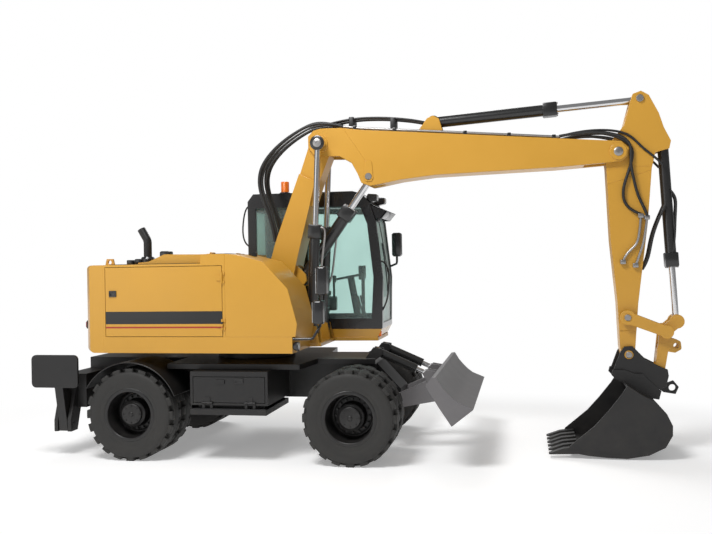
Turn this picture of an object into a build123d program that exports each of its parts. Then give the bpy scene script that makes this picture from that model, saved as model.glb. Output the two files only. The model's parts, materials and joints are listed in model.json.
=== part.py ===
"""Wheeled excavator with a two-piece boom, a front blade and rear outriggers.

Every piece is drawn about the swing axis: X forward, Y to the left, Z up from the ground, in millimetres.
save() then moves the whole machine along X, so that its origin is at the middle of its length.
"""

import os
from math import atan2, cos, degrees, hypot, pi, radians, sin

from build123d import *

# Where the swing axis stands from the middle of the machine's length
swing_x = -1365.0

# Wheels and axles
wheel_radius = 515.0
tyre_width = 275.0
twin_pitch = 325.0
outer_tyre_y = 1125.0
rim_radius = 298.0
bead_radius = 270.0
lug_count = 20
lug_depth = 38.0
rear_axle_x = -1100.0
front_axle_x = 1400.0
kingpin_y = 590.0
spindle_radius = 92.0
hub_play = 0.5
steer_arm = 215.0

# Undercarriage
frame_half = 330.0
frame_top = 1000.0
frame_bottom = 600.0
deck_top = 1060.0
deck_half = 985.0
deck_nose = 392.0
axle_saddle = 740.0
ring_radius = 470.0
ring_top = 1125.0
ring_gap = 0.5
ring_play = 2.0

# Blade, raised
blade_pivot = (1740.0, 560.0)
blade_half = 1268.0
blade_arm_in = 270.0
blade_arm_out = 350.0
blade_ram_y = 300.0
blade_ram_base = (1560.0, 1135.0)
blade_ram_end = (2130.0, 885.0)

# Outriggers, folded up
leg_pivot_y = 1030.0
leg_pivot_z = 345.0
leg_x = -1995.0
pad_length = 570.0
pad_height = 370.0
pad_top = 1180.0
pad_face = 1264.0

# Upper structure
floor_z = 1200.0
plate = 40.0
upper_half = 1195.0
body_top = 2190.0
sill_top = 1380.0
weight_side = 165.0
tail_bulge = 400.0
weight_front = -1420.0
bay_front = 25.0
nose_x = 780.0
door_thick = 35.0
door_gap = 6.0

# Boom pins
foot_pin = (200.0, 1560.0)
knuckle_pin = (882.0, 3590.0)
lift_base = (775.0, 1385.0)
lift_y = 290.0
adjust_base = (600.0, 1985.0)
adjust_pin = (1462.0, 3188.0)
stick_pin = (4298.0, 3364.0)
crowd_base = (2226.0, 3814.0)
crowd_pin = (4543.0, 3956.0)
base_half = 190.0
boom_half = 180.0
knuckle_half = 144.0
nose_slot = 128.0
pin_play = 6.0

# Stick, linkage and bucket pins
stick_half = 122.0
tip_half = 115.0
curl_base = (4795.0, 3452.0)
idler_pin = (4368.0, 1510.0)
link_pin = (4781.0, 1349.0)
curl_pin = (4908.0, 1458.0)
tilt_pin = (4713.0, 883.0)
bucket_pin = (4379.0, 1092.0)
ear_thick = 35.0
idler_thick = 34.0
bucket_half = 540.0
bucket_wall = 22.0
tooth_count = 6

# Rams: radii, length from the base pin to the gland, and the stroke left to draw in from rest
lift_gland = 1240.0
lift_stroke_in = 575.0
lift_eye_r = 78.0
adjust_gland = 1040.0
adjust_stroke_in = 235.0
adjust_eye_r = 80.0
crowd_gland = 1420.0
crowd_stroke_in = 805.0
crowd_eye_r = 74.0
curl_gland = 1385.0
curl_stroke_in = 545.0
curl_eye_r = 68.0
lift_barrel_r = 62.0
lift_rod_r = 36.0
adjust_barrel_r = 72.0
adjust_rod_r = 42.0
crowd_barrel_r = 66.0
crowd_rod_r = 40.0
curl_barrel_r = 60.0
curl_rod_r = 36.0
blade_barrel_r = 50.0
blade_rod_r = 28.0
eye_half = 45.0
rod_play = 1.0
bush = 0.4
lift_pin_r = 38.0
adjust_pin_r = 40.0
crowd_pin_r = 36.0
curl_pin_r = 34.0
blade_pin_r = 24.0

# Hinges of doors and lids
hinge_r = 13.0
hinge_stand = 14.0
hinge_long = 60.0

# Cab
cab_in = 402.0
cab_out = 1200.0
cab_wall = 55.0
cab_rear = -225.0
cab_floor = floor_z + plate
glass = 12.0


def save(name, shape):
    """Writes one piece, moved to the machine's own origin."""
    solids = shape.solids() if hasattr(shape, "solids") else list(shape)
    moved = [s.moved(Location((swing_x, 0, 0))) for s in solids]
    export_step(moved[0] if len(moved) == 1 else Compound(children=moved), f"parts/{name}.step")


def side_plane(y):
    """A plane at y whose sketch axes are X and Z; extruding runs toward minus Y."""
    return Plane(origin=(0, y, 0), x_dir=(1, 0, 0), z_dir=(0, -1, 0))


def slab(points, y0, y1, radius=0.0):
    """A side profile, with rounded corners if asked, that runs from y0 to y1."""
    outline = make_face(Polyline(*points, close=True))
    if radius:
        outline = fillet(outline.vertices(), radius)
    return extrude(side_plane(y1) * outline, amount=y1 - y0)


def plan(points, z0, z1, radius=0.0):
    """A plan outline that runs from z0 up to z1."""
    outline = make_face(Polyline(*points, close=True))
    if radius:
        outline = fillet(outline.vertices(), radius)
    return extrude(Plane.XY.offset(z0) * outline, amount=z1 - z0)


def front(points, x0, x1, radius=0.0):
    """A front profile in Y and Z that runs from x0 to x1."""
    outline = make_face(Polyline(*points, close=True))
    if radius:
        outline = fillet(outline.vertices(), radius)
    return extrude(Plane.YZ.offset(x0) * outline, amount=x1 - x0)


def block(x0, x1, y0, y1, z0, z1):
    """A box from its six limits."""
    return Pos((x0 + x1) / 2, (y0 + y1) / 2, (z0 + z1) / 2) * Box(x1 - x0, y1 - y0, z1 - z0)


def across(pin, radius, y0, y1):
    """A round bar along Y about a pin."""
    return Pos(pin[0], (y0 + y1) / 2, pin[1]) * Rot(90, 0, 0) * Cylinder(radius, y1 - y0)


def upright(x, y, radius, z0, z1):
    """A round bar along Z."""
    return Pos(x, y, (z0 + z1) / 2) * Cylinder(radius, z1 - z0)


def along(start, end, radius, a, b, y=0.0):
    """A round bar on the line between two side points, from a to b along it."""
    dx, dz = end[0] - start[0], end[1] - start[1]
    length = hypot(dx, dz)
    line = Plane(origin=(start[0], y, start[1]), x_dir=(0, 1, 0), z_dir=(dx / length, 0, dz / length))
    return line.offset(a) * Cylinder(radius, b - a, align=(Align.CENTER, Align.CENTER, Align.MIN))


def reach(start, end):
    """The distance between two pins."""
    return hypot(end[0] - start[0], end[1] - start[1])


def mirrored(shape):
    """The same shape on the other side of the machine."""
    return mirror(shape, about=Plane.XZ)


def pair(shape):
    """A shape and its mirror image, as separate solids."""
    return Compound(children=shape.solids() + mirrored(shape).solids())


def joined(*shapes):
    """All shapes fused to one."""
    out = shapes[0]
    for s in shapes[1:]:
        out = out + s
    return out


def hinge(centre, run, inward, reach_out):
    """One hinge: the moving knuckle with its leaf, and the two fixed knuckles with theirs.

    run is the way of the axis, inward points from the axis to the panel's face, reach_out to the moving side.
    """
    c, d, n, w = Vector(*centre), Vector(*run), Vector(*inward), Vector(*reach_out)
    moving = []
    fixed = []
    for offset, length, side, group in (
        (0, hinge_long, 1, moving),
        (-hinge_long / 2 - 15 - bush, 30, -1, fixed),
        (hinge_long / 2 + 15 + bush, 30, -1, fixed),
    ):
        at = c + d * offset
        post = Plane(origin=at, z_dir=d) * Cylinder(hinge_r, length)
        middle = at + w * (side * 30) + n * (hinge_stand - 5)
        leaf = Plane(origin=middle, x_dir=w, z_dir=d) * Box(60, 10, length)
        group.append(post + leaf)
    return moving[0], joined(*fixed)


def faceted(rings):
    """A closed solid from rings of points; each step between two rings is a band of flat faces."""
    faces = []
    for lower, upper in zip(rings, rings[1:]):
        n = len(lower)
        for i in range(n):
            j = (i + 1) % n
            loop = [lower[i], lower[j], upper[j], upper[i]]
            loop = [p for k, p in enumerate(loop) if (Vector(*p) - Vector(*loop[k - 1])).length > 1e-6]
            faces.append(Face(Wire.make_polygon([Vector(*p) for p in loop], close=True)))
    return Solid(Shell(faces))


def turned(profile, sides, y_middle):
    """A closed profile of (radius, y) turned about the Y axis, in flat-sided steps."""
    rings = []
    for r, y in list(profile) + [profile[0]]:
        ring = []
        for i in range(sides):
            a = 2 * pi * i / sides
            ring.append((r * cos(a), y + y_middle, r * sin(a)))
        rings.append(ring)
    return faceted(rings)


def plain_tyre():
    """The inner tyre of a twin pair."""
    h = tyre_width / 2
    profile = [
        (bead_radius, -h + 18),
        (rim_radius, -h + 18),
        (wheel_radius - 100, -h),
        (wheel_radius - 42, -h + 3),
        (wheel_radius, -h + 25),
        (wheel_radius, h - 25),
        (wheel_radius - 42, h - 3),
        (wheel_radius - 100, h),
        (rim_radius, h - 18),
        (bead_radius, h - 18),
    ]
    return turned(profile, lug_count, 0)


def lugged_tyre():
    """The outer tyre of a twin pair, with a block lug at each pitch of both shoulders."""
    h = tyre_width / 2
    pitch = 2 * pi / lug_count
    notch_angle = 0.42 * pitch
    chord = wheel_radius * sin(notch_angle / 2)
    tyre = plain_tyre()
    floor = wheel_radius - lug_depth
    cutters = []
    for side in (-1, 1):
        for i in range(lug_count):
            angle = degrees(pitch * (i + 0.5))
            y0 = side * (h - 78)
            y1 = side * (h + 10)
            tool = block(floor, wheel_radius + 30, min(y0, y1), max(y0, y1), -chord, chord)
            cutters.append(Rot(0, -angle, 0) * tool)
    return tyre.cut(*[s for c in cutters for s in c.solids()])


def wheel_rim():
    """Both rims of a twin pair with the hub, about the wheel's own axis, outside toward plus Y."""
    h = tyre_width / 2 - 18
    inner = outer_tyre_y - twin_pitch
    flange = 10.0
    bore = (spindle_radius + hub_play) / cos(pi / lug_count)
    drum = 205.0
    back = inner + h + flange
    front_disc = outer_tyre_y - h - flange
    barrel = bead_radius - 14
    profile = [
        (bore, back - 60),
        (150, back - 60),
        (150, back),
        (barrel, back),
        (barrel, inner - h - flange),
        (rim_radius, inner - h - flange),
        (rim_radius, inner - h),
        (bead_radius - 2, inner - h),
        (bead_radius - 2, inner + h),
        (rim_radius, inner + h),
        (rim_radius, back),
        (bead_radius - 2, back),
        (bead_radius - 2, front_disc),
        (rim_radius, front_disc),
        (rim_radius, front_disc + flange),
        (bead_radius - 2, front_disc + flange),
        (bead_radius - 2, outer_tyre_y + h),
        (rim_radius, outer_tyre_y + h),
        (rim_radius, outer_tyre_y + h + flange),
        (barrel, outer_tyre_y + h + flange),
        (barrel, front_disc + flange),
        (drum, front_disc + flange),
        (drum, front_disc + flange + 22),
        (150, front_disc + flange + 22),
        (150, outer_tyre_y + 20),
        (118, outer_tyre_y + 40),
        (118, outer_tyre_y + 75),
        (bore, outer_tyre_y + 75),
    ]
    ring = turned(profile, lug_count, 0)
    cap = across((0, 0), bore, outer_tyre_y + 45, outer_tyre_y + 75)
    return ring + cap


def make_wheels():
    """Four twin wheels: tyres and rims."""
    outer = Pos(0, outer_tyre_y, 0) * lugged_tyre()
    inner = Pos(0, outer_tyre_y - twin_pitch, 0) * plain_tyre()
    rim = wheel_rim()
    for end, x in (("front", front_axle_x), ("rear", rear_axle_x)):
        place = Pos(x, 0, wheel_radius)
        left = Compound(children=(place * outer).solids() + (place * inner).solids())
        save(f"tyres_{end}_left", left)
        save(f"tyres_{end}_right", mirrored(left))
        save(f"rims_{end}_left", place * rim)
        save(f"rims_{end}_right", mirrored(place * rim))


def make_axles():
    """The oscillating front axle, its steered knuckles and track rod, and the rigid rear axle."""
    z = wheel_radius
    yoke_in = kingpin_y - 110
    ball = 108.0
    stub_end = outer_tyre_y + 30
    front_axle = joined(
        Pos(front_axle_x, 0, z) * Rot(90, 0, 0) * Cylinder(85, 2 * yoke_in),
        Pos(front_axle_x, 0, z) * Sphere(185),
        block(front_axle_x - 150, front_axle_x + 150, -110, 110, z, axle_saddle),
    )
    for s in (-1, 1):
        lo, hi = sorted((s * (yoke_in - 40), s * (yoke_in + 6)))
        front_axle += block(front_axle_x - 75, front_axle_x + 75, lo, hi, z - 160, z + 160)
        lo, hi = sorted((s * yoke_in, s * (kingpin_y + 45)))
        for z0 in (z - 160, z + ball + pin_play):
            front_axle += block(front_axle_x - 60, front_axle_x + 60, lo, hi, z0, z0 + 160 - ball - pin_play)
        front_axle += upright(front_axle_x, s * kingpin_y, 30, z - 150, z + 150)
    save("front_axle", front_axle)

    knuckle = joined(
        upright(front_axle_x, kingpin_y, 80, z - ball, z + ball),
        across((front_axle_x, z), spindle_radius, kingpin_y, stub_end),
        across((front_axle_x, z), ball - 4, kingpin_y + 62, kingpin_y + 110),
        block(front_axle_x - steer_arm - 32, front_axle_x, kingpin_y - 25, kingpin_y + 30, z - 14, z + 14),
    )
    knuckle -= upright(front_axle_x, kingpin_y, 30 + bush, z - 160, z + 160)
    save("knuckle_left", knuckle)
    save("knuckle_right", mirrored(knuckle))

    rod_x = front_axle_x - steer_arm
    rod_z = z - 14 - bush - 18
    track_rod = Pos(rod_x, 0, rod_z) * Rot(90, 0, 0) * Cylinder(18, 2 * kingpin_y)
    for s in (-1, 1):
        track_rod += upright(rod_x, s * kingpin_y, 30, rod_z - 22, rod_z + 18)
    save("track_rod", track_rod)

    flange_y = outer_tyre_y - twin_pitch - tyre_width / 2 - 30
    rear_axle = joined(
        Pos(rear_axle_x, 0, z) * Rot(90, 0, 0) * Cylinder(95, 2 * flange_y),
        Pos(rear_axle_x, 0, z) * Sphere(190),
        block(rear_axle_x - 150, rear_axle_x + 150, -300, 300, z, axle_saddle),
    )
    for s in (-1, 1):
        rear_axle += across((rear_axle_x, z), spindle_radius, min(0, s * stub_end), max(0, s * stub_end))
        lo, hi = sorted((s * (flange_y - 45), s * flange_y))
        rear_axle += across((rear_axle_x, z), 175, lo, hi)
    save("rear_axle", rear_axle)


def make_chassis():
    """The frame with its deck and slew ring, the side boxes, the lid and the rear mudguards."""
    nose = blade_pivot[0] + 60
    tail = leg_x - 60
    profile = [
        (tail, frame_bottom - 60),
        (rear_axle_x - 260, frame_bottom),
        (rear_axle_x - 220, axle_saddle),
        (rear_axle_x + 220, axle_saddle),
        (rear_axle_x + 260, frame_bottom),
        (front_axle_x - 330, frame_bottom),
        (front_axle_x - 260, axle_saddle),
        (front_axle_x + 230, axle_saddle),
        (front_axle_x + 270, blade_pivot[1] - 75),
        (nose + 20, blade_pivot[1] - 75),
        (nose + 20, blade_pivot[1] + 140),
        (blade_ram_base[0] - 20, frame_top),
        (tail, frame_top),
    ]
    arm_clear = blade_arm_in - pin_play
    frame = slab(profile, -arm_clear, arm_clear)
    wide = profile[:7]
    wide += [(front_axle_x + 140, axle_saddle), (front_axle_x + 140, frame_top), (tail, frame_top)]
    frame += slab(wide, -frame_half, frame_half)
    deck = [
        (rear_axle_x + 345, -deck_half),
        (front_axle_x - 600, -deck_half),
        (front_axle_x - 540, -deck_nose),
        (blade_ram_base[0] - 15, -deck_nose),
        (blade_ram_base[0] - 15, deck_nose),
        (front_axle_x - 540, deck_nose),
        (front_axle_x - 600, deck_half),
        (rear_axle_x + 345, deck_half),
        (rear_axle_x + 330, frame_half),
        (tail, frame_half),
        (tail, -frame_half),
        (rear_axle_x + 330, -frame_half),
    ]
    frame += plan(deck, frame_top, deck_top)
    frame += across(blade_pivot, 52, -blade_arm_out - 12, blade_arm_out + 12)
    for s in (-1, 1):
        for y in (blade_ram_y - 81, blade_ram_y + 56):
            lug = slab(
                [
                    (blade_ram_base[0] - 150, deck_top - 20),
                    (blade_ram_base[0] - 20, deck_top - 20),
                    (blade_ram_base[0] + 62, blade_ram_base[1] - 30),
                    (blade_ram_base[0] + 60, blade_ram_base[1] + 40),
                    (blade_ram_base[0] - 40, blade_ram_base[1] + 55),
                ],
                s * y if s > 0 else s * (y + 25),
                s * (y + 25) if s > 0 else s * y,
            )
            frame += lug
        mid = s * blade_ram_y
        frame += across(blade_ram_base, blade_pin_r, mid - 60, mid + 60)
    hollow = leg_pivot_y + 90
    beam = block(tail, leg_x + 210, -hollow + 190, hollow - 190, frame_bottom - 60, frame_bottom + 330)
    frame += beam
    for s in (-1, 1):
        for x in (leg_x - 105, leg_x + 60):
            bracket = front(
                [
                    (s * (hollow - 250), frame_bottom - 60),
                    (s * (hollow - 250), frame_bottom + 300),
                    (s * (hollow - 190), frame_bottom + 300),
                    (s * (leg_pivot_y + 75), leg_pivot_z + 70),
                    (s * (leg_pivot_y + 75), leg_pivot_z - 60),
                    (s * (leg_pivot_y - 75), leg_pivot_z - 60),
                ],
                x,
                x + 45,
            )
            frame += bracket
        frame += Pos(leg_x, s * leg_pivot_y, leg_pivot_z) * Rot(0, 90, 0) * Cylinder(40, 2 * 105 + 20)
    save("chassis_frame", frame)

    bearing = upright(0, 0, ring_radius, deck_top, ring_top)
    bearing -= upright(0, 0, ring_radius - 70, deck_top + 12, ring_top + 5)
    save("slew_ring", bearing)

    box_out = 1195.0
    box_front = front_axle_x - 905
    box_rear = rear_axle_x + 705
    lid_low = 655.0
    lid_high = 945.0
    box_solid = block(box_rear, box_front, frame_half, box_out, 630, frame_top)
    step = block(box_rear + 10, box_front - 10, frame_half, box_out + 35, 530, 590)
    step += block(box_rear + 60, box_front - 60, frame_half, box_out - 90, 585, 640)
    room = block(box_rear + 30, box_front - 30, frame_half + 150, box_out + 5, lid_low, lid_high)
    left_box = box_solid + step
    right_box = mirrored(left_box - room)
    lid = block(
        box_rear + 36, box_front - 36, -box_out, -box_out + 25, lid_low + pin_play, lid_high - pin_play
    )
    lid += block(-95, 5, -box_out - 14, -box_out + 5, lid_high - 75, lid_high - 35)
    hinge_z = lid_low + pin_play / 2
    for x in (box_rear + 200, box_front - 200):
        leaf, seat = hinge((x, -box_out - hinge_stand, hinge_z), (1, 0, 0), (0, 1, 0), (0, 0, 1))
        lid += leaf
        right_box += seat
    save("side_boxes", Compound(children=left_box.solids() + right_box.solids()))
    save("toolbox_lid", lid)

    guard_r = wheel_radius + 75
    ring = Circle(guard_r) - Circle(guard_r - 12)
    fan = make_face(
        Polyline(
            (0, 0),
            (900 * cos(radians(22)), 900 * sin(radians(22))),
            (900 * cos(radians(60)), 900 * sin(radians(60))),
            (900 * cos(radians(115)), 900 * sin(radians(115))),
            (900 * cos(radians(150)), 900 * sin(radians(150))),
            close=True,
        )
    )
    guard = extrude(side_plane(1262) * (ring & fan), amount=1262 - 600)
    guard = Pos(rear_axle_x, 0, wheel_radius) * guard
    stay = block(rear_axle_x - 45, rear_axle_x + 45, frame_half, 650, frame_top - 60, frame_top)
    riser_top = wheel_radius + guard_r - 6
    stay += block(rear_axle_x - 45, rear_axle_x + 45, 600, 650, frame_top - 60, riser_top)
    save("rear_mudguards", pair(guard + stay))


def make_blade():
    """The blade with its arms, and the two rams that lift it."""
    px, pz = blade_pivot
    shell = [
        (2215, 880),
        (2285, 965),
        (2330, 972),
        (2385, 880),
        (2440, 815),
        (2500, 755),
        (2562, 708),
        (2625, 682),
        (2714, 645),
        (2700, 628),
        (2600, 640),
        (2540, 662),
        (2470, 715),
        (2410, 775),
        (2350, 845),
    ]
    blade = slab(shell, -blade_half, blade_half)
    end_plate = [
        (2215, 880),
        (2285, 965),
        (2350, 845),
        (2410, 775),
        (2470, 715),
        (2540, 662),
        (2600, 640),
        (2700, 628),
        (2484, 458),
        (2362, 640),
    ]
    for s in (-1, 1):
        y0, y1 = sorted((s * blade_half, s * (blade_half - 25)))
        blade += slab(end_plate, y0, y1)
        y0, y1 = sorted((s * 300, s * 325))
        blade += slab(end_plate, y0, y1)
    spine = [(2225, 890), (2290, 930), (2400, 760), (2480, 690), (2430, 560), (2330, 700)]
    blade += slab(spine, -blade_half + 20, blade_half - 20)
    arm = [
        (px - 85, pz - 30),
        (px - 30, pz - 85),
        (px + 480, pz + 10),
        (px + 690, pz + 40),
        (px + 560, pz + 300),
        (px + 470, pz + 280),
        (px + 30, pz + 85),
        (px - 60, pz + 60),
    ]
    for s in (-1, 1):
        y0, y1 = sorted((s * blade_arm_in, s * blade_arm_out))
        blade += slab(arm, y0, y1) - across(blade_pivot, 52 + bush, y0 - 5, y1 + 5)
        for y in (blade_ram_y - 81, blade_ram_y + 56):
            y0, y1 = sorted((s * y, s * (y + 25)))
            lug = [
                (blade_ram_end[0] - 45, blade_ram_end[1] + 5),
                (blade_ram_end[0] + 5, blade_ram_end[1] + 50),
                (blade_ram_end[0] + 190, blade_ram_end[1] + 20),
                (blade_ram_end[0] + 190, blade_ram_end[1] - 130),
                (blade_ram_end[0] + 20, blade_ram_end[1] - 110),
            ]
            blade += slab(lug, y0, y1)
    save("dozer_blade", blade)

    span = reach(blade_ram_base, blade_ram_end)
    gland = span - 130
    barrels = []
    rods = []
    for s in (-1, 1):
        y = s * blade_ram_y
        barrel = along(blade_ram_base, blade_ram_end, blade_barrel_r, 40, gland, y)
        barrel += across(blade_ram_base, 48, y - eye_half, y + eye_half)
        barrel -= across(blade_ram_base, blade_pin_r + bush, y - eye_half - 5, y + eye_half + 5)
        barrel -= along(blade_ram_base, blade_ram_end, blade_rod_r + rod_play, 110, gland + 5, y)
        barrels += barrel.solids()
        rod = along(blade_ram_base, blade_ram_end, blade_rod_r, 112, span, y)
        rod += across(blade_ram_end, 45, y - eye_half, y + eye_half)
        rods += rod.solids()
    save("blade_ram_barrels", Compound(children=barrels))
    save("blade_ram_rods", Compound(children=rods))


def make_outriggers():
    """Each rear outrigger: a leg with its ground pad, folded up beside the frame."""
    half = 50.0
    leg = front(
        [
            (leg_pivot_y - 60, leg_pivot_z - 55),
            (leg_pivot_y + 60, leg_pivot_z - 55),
            (leg_pivot_y + 70, leg_pivot_z + 60),
            (pad_face - 70, pad_top - pad_height + 60),
            (pad_face - 30, pad_top - pad_height + 60),
            (pad_face - 30, pad_top - 60),
            (pad_face - 90, pad_top - 60),
            (leg_pivot_y - 70, leg_pivot_z + 330),
        ],
        leg_x - half,
        leg_x + half,
    )
    leg -= Pos(leg_x, leg_pivot_y, leg_pivot_z) * Rot(0, 90, 0) * Cylinder(40 + bush, 2 * half + 20)
    low = pad_top - pad_height
    outline = make_face(
        Polyline(
            (leg_x - pad_length / 2, low),
            (leg_x + pad_length / 2, low),
            (leg_x + pad_length / 2, pad_top),
            (leg_x - pad_length / 2, pad_top),
            close=True,
        )
    )
    outline = fillet(outline.vertices(), 55)
    leg += extrude(side_plane(pad_face) * outline, amount=30)
    for x in (leg_x - 150, leg_x + 120):
        leg += block(x, x + 30, pad_face - 75, pad_face - 25, low + 70, pad_top - 70)
    leg += block(leg_x - 150, leg_x + 150, pad_face - 75, pad_face - 50, low + 120, pad_top - 120)
    save("outrigger_left", leg)
    save("outrigger_right", mirrored(leg))


def make_upper():
    """The slewing frame, counterweight, engine and its bay, doors, hood, tanks and exhaust."""
    x_cab = 1450.0
    frame = plan(
        [
            (weight_front, -upper_half),
            (nose_x, -upper_half),
            (nose_x, -410),
            (900, -370),
            (900, 370),
            (x_cab, cab_in),
            (x_cab, upper_half),
            (weight_front, upper_half),
        ],
        floor_z,
        floor_z + plate,
    )
    frame += upright(0, 0, ring_radius - 40, ring_top + ring_gap, floor_z)
    frame += upright(0, 0, ring_radius - 70 - ring_play, deck_top + 20, floor_z)
    tower = [
        (foot_pin[0] - 230, floor_z + 20),
        (foot_pin[0] + 330, floor_z + 20),
        (foot_pin[0] + 150, foot_pin[1] + 60),
        (foot_pin[0] + 60, foot_pin[1] + 140),
        (foot_pin[0] - 90, foot_pin[1] + 120),
        (foot_pin[0] - 150, foot_pin[1]),
    ]
    lug = [
        (lift_base[0] - 110, floor_z + 20),
        (lift_base[0] + 110, floor_z + 20),
        (lift_base[0] + 70, lift_base[1] + 50),
        (lift_base[0] - 50, lift_base[1] + 70),
    ]
    for s in (-1, 1):
        y0, y1 = sorted((s * (base_half + pin_play), s * (base_half + pin_play + 36)))
        frame += slab(tower, y0, y1)
        for y in (lift_y - lift_barrel_r - 6 - 24, lift_y + lift_barrel_r + 6):
            y0, y1 = sorted((s * y, s * (y + 24)))
            frame += slab(lug, y0, y1)
        mid = s * lift_y
        frame += across(lift_base, lift_pin_r, mid - lift_barrel_r - 10, mid + lift_barrel_r + 10)
    frame += across(foot_pin, 55, -base_half - pin_play, base_half + pin_play)
    frame += block(weight_front, nose_x, -upper_half, -upper_half + 45, floor_z + plate, sill_top)
    frame += block(weight_front, cab_rear - 10, upper_half - 45, upper_half, floor_z + plate, sill_top)
    save("upper_frame", frame)

    side = weight_front - weight_side
    arc = ThreePointArc((side, -upper_half), (side - tail_bulge, 0), (side, upper_half))
    rim = Polyline((side, upper_half), (weight_front, upper_half), (weight_front, -upper_half), (side, -upper_half))
    weight = extrude(Plane.XY.offset(floor_z) * make_face(Curve() + [arc, rim]), amount=body_top - floor_z)
    top_back = weight.edges().filter_by(GeomType.CIRCLE)
    weight = fillet(top_back, 45)
    for s in (-1, 1):
        eye = slab(
            [(-1660, body_top - 10), (-1540, body_top - 10), (-1560, body_top + 75), (-1640, body_top + 75)],
            *sorted((s * 640, s * 670)),
        )
        weight += eye - across((-1600, body_top + 35), 24, *sorted((s * 630, s * 680)))
    save("counterweight", weight)

    save("engine", block(-1330, -560, -420, 420, floor_z + plate, 1900))

    hood_y = upper_half - 100
    hood_rear = -1035.0
    hood_front = cab_rear - 35
    lid_profile = [
        (hood_rear, 2195),
        (hood_rear, 2210),
        (-905, 2222),
        (-720, 2300),
        (hood_front, 2292),
        (hood_front, 2195),
    ]
    lid = slab(lid_profile, -hood_y, hood_y)
    hollow = [(hood_rear + 25, 2190), (-900, 2198), (-710, 2276), (hood_front - 25, 2268), (hood_front - 25, 2190)]
    lid -= slab(hollow, -hood_y + 25, hood_y - 25)

    skin = 25.0
    cover = block(weight_front, hood_rear - door_gap, -upper_half, upper_half, body_top - skin, body_top)
    edge = hood_y - 40
    for s in (-1, 1):
        y0, y1 = sorted((s * edge, s * upper_half))
        front_x = hood_front - 6
        cover += block(weight_front, front_x, y0, y1, body_top - skin, body_top)
    cover += block(hood_rear - door_gap - 5, hood_rear + 30, -edge - 5, edge + 5, body_top - skin, body_top)
    cover += block(hood_front - 6, bay_front, -upper_half, cab_in - 30, body_top - skin, body_top)
    cover += block(hood_front + 6, bay_front, -upper_half, cab_in - 30, body_top - 5, 2292)
    inset = upper_half - 45
    cover += block(bay_front - 30, bay_front, -inset, -410, floor_z + plate, body_top)
    cover += block(bay_front - 30, bay_front, -upper_half, -inset, sill_top, body_top)
    cover += block(hood_front - 6, hood_front + 24, -410, inset, floor_z + plate, body_top)
    cover += block(hood_front - 6, hood_front + 24, inset, upper_half, sill_top, body_top)
    cover += block(hood_front - 6, bay_front, -440, -410, floor_z + plate, body_top)
    cover += block(weight_front, weight_front + 25, -inset, inset, floor_z + plate, body_top)
    cover += block(weight_front, weight_front + 25, -upper_half, upper_half, sill_top, body_top)

    door_z0 = sill_top + door_gap
    door_z1 = body_top - skin - door_gap
    door_rear = weight_front + 25 + door_gap
    right = block(
        door_rear, bay_front - 30 - door_gap, -upper_half, -upper_half + door_thick, door_z0, door_z1
    )
    hinge_y = upper_half + hinge_stand
    for z in (door_z0 + 130, door_z1 - 130):
        at = (bay_front - 30 - door_gap / 2, -hinge_y, z)
        leaf, seat = hinge(at, (0, 0, 1), (0, 1, 0), (-1, 0, 0))
        right += leaf
        cover += seat & block(at[0] - 5, bay_front, -hinge_y - 50, 0, 0, 9000)
    save("service_door_right", right)
    left = block(door_rear, hood_front - 6 - door_gap, upper_half - door_thick, upper_half, door_z0, door_z1)
    for z in (door_z0 + 130, door_z1 - 130):
        leaf, seat = hinge((hood_front - 6 - door_gap / 2, hinge_y, z), (0, 0, 1), (0, -1, 0), (-1, 0, 0))
        left += leaf
        cover += seat & block(weight_front, cab_rear - 5, 0, hinge_y + 50, 0, body_top)
    save("service_door_left", left)
    for y in (-800, 100):
        leaf, seat = hinge((hood_front + 3, y, 2292 + hinge_stand), (0, 1, 0), (0, 0, -1), (-1, 0, 0))
        lid += leaf
        cover += seat
    save("engine_hood", lid)
    save("body_shell", cover)

    tank = slab(
        [
            (bay_front, floor_z + plate),
            (nose_x, floor_z + plate),
            (835, 1517),
            (734, 1903),
            (455, 2200),
            (168, 2277),
            (bay_front, 2290),
        ],
        -upper_half + 45,
        -410,
    )
    tank += slab(
        [
            (bay_front, sill_top),
            (815, sill_top),
            (835, 1517),
            (734, 1903),
            (455, 2200),
            (168, 2277),
            (bay_front, 2290),
        ],
        -upper_half,
        -upper_half + 60,
    )
    save("tank_housing", tank)

    path = FilletPolyline((-1190, -500, body_top), (-1190, -500, 2480), (-1270, -500, 2620), radius=120)
    pipe = sweep(Plane(path @ 0, z_dir=path % 0) * Circle(48), path=path)
    bore = sweep(Plane(path @ 0, z_dir=path % 0) * Circle(42), path=path)
    save("exhaust_pipe", pipe - bore)


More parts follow.
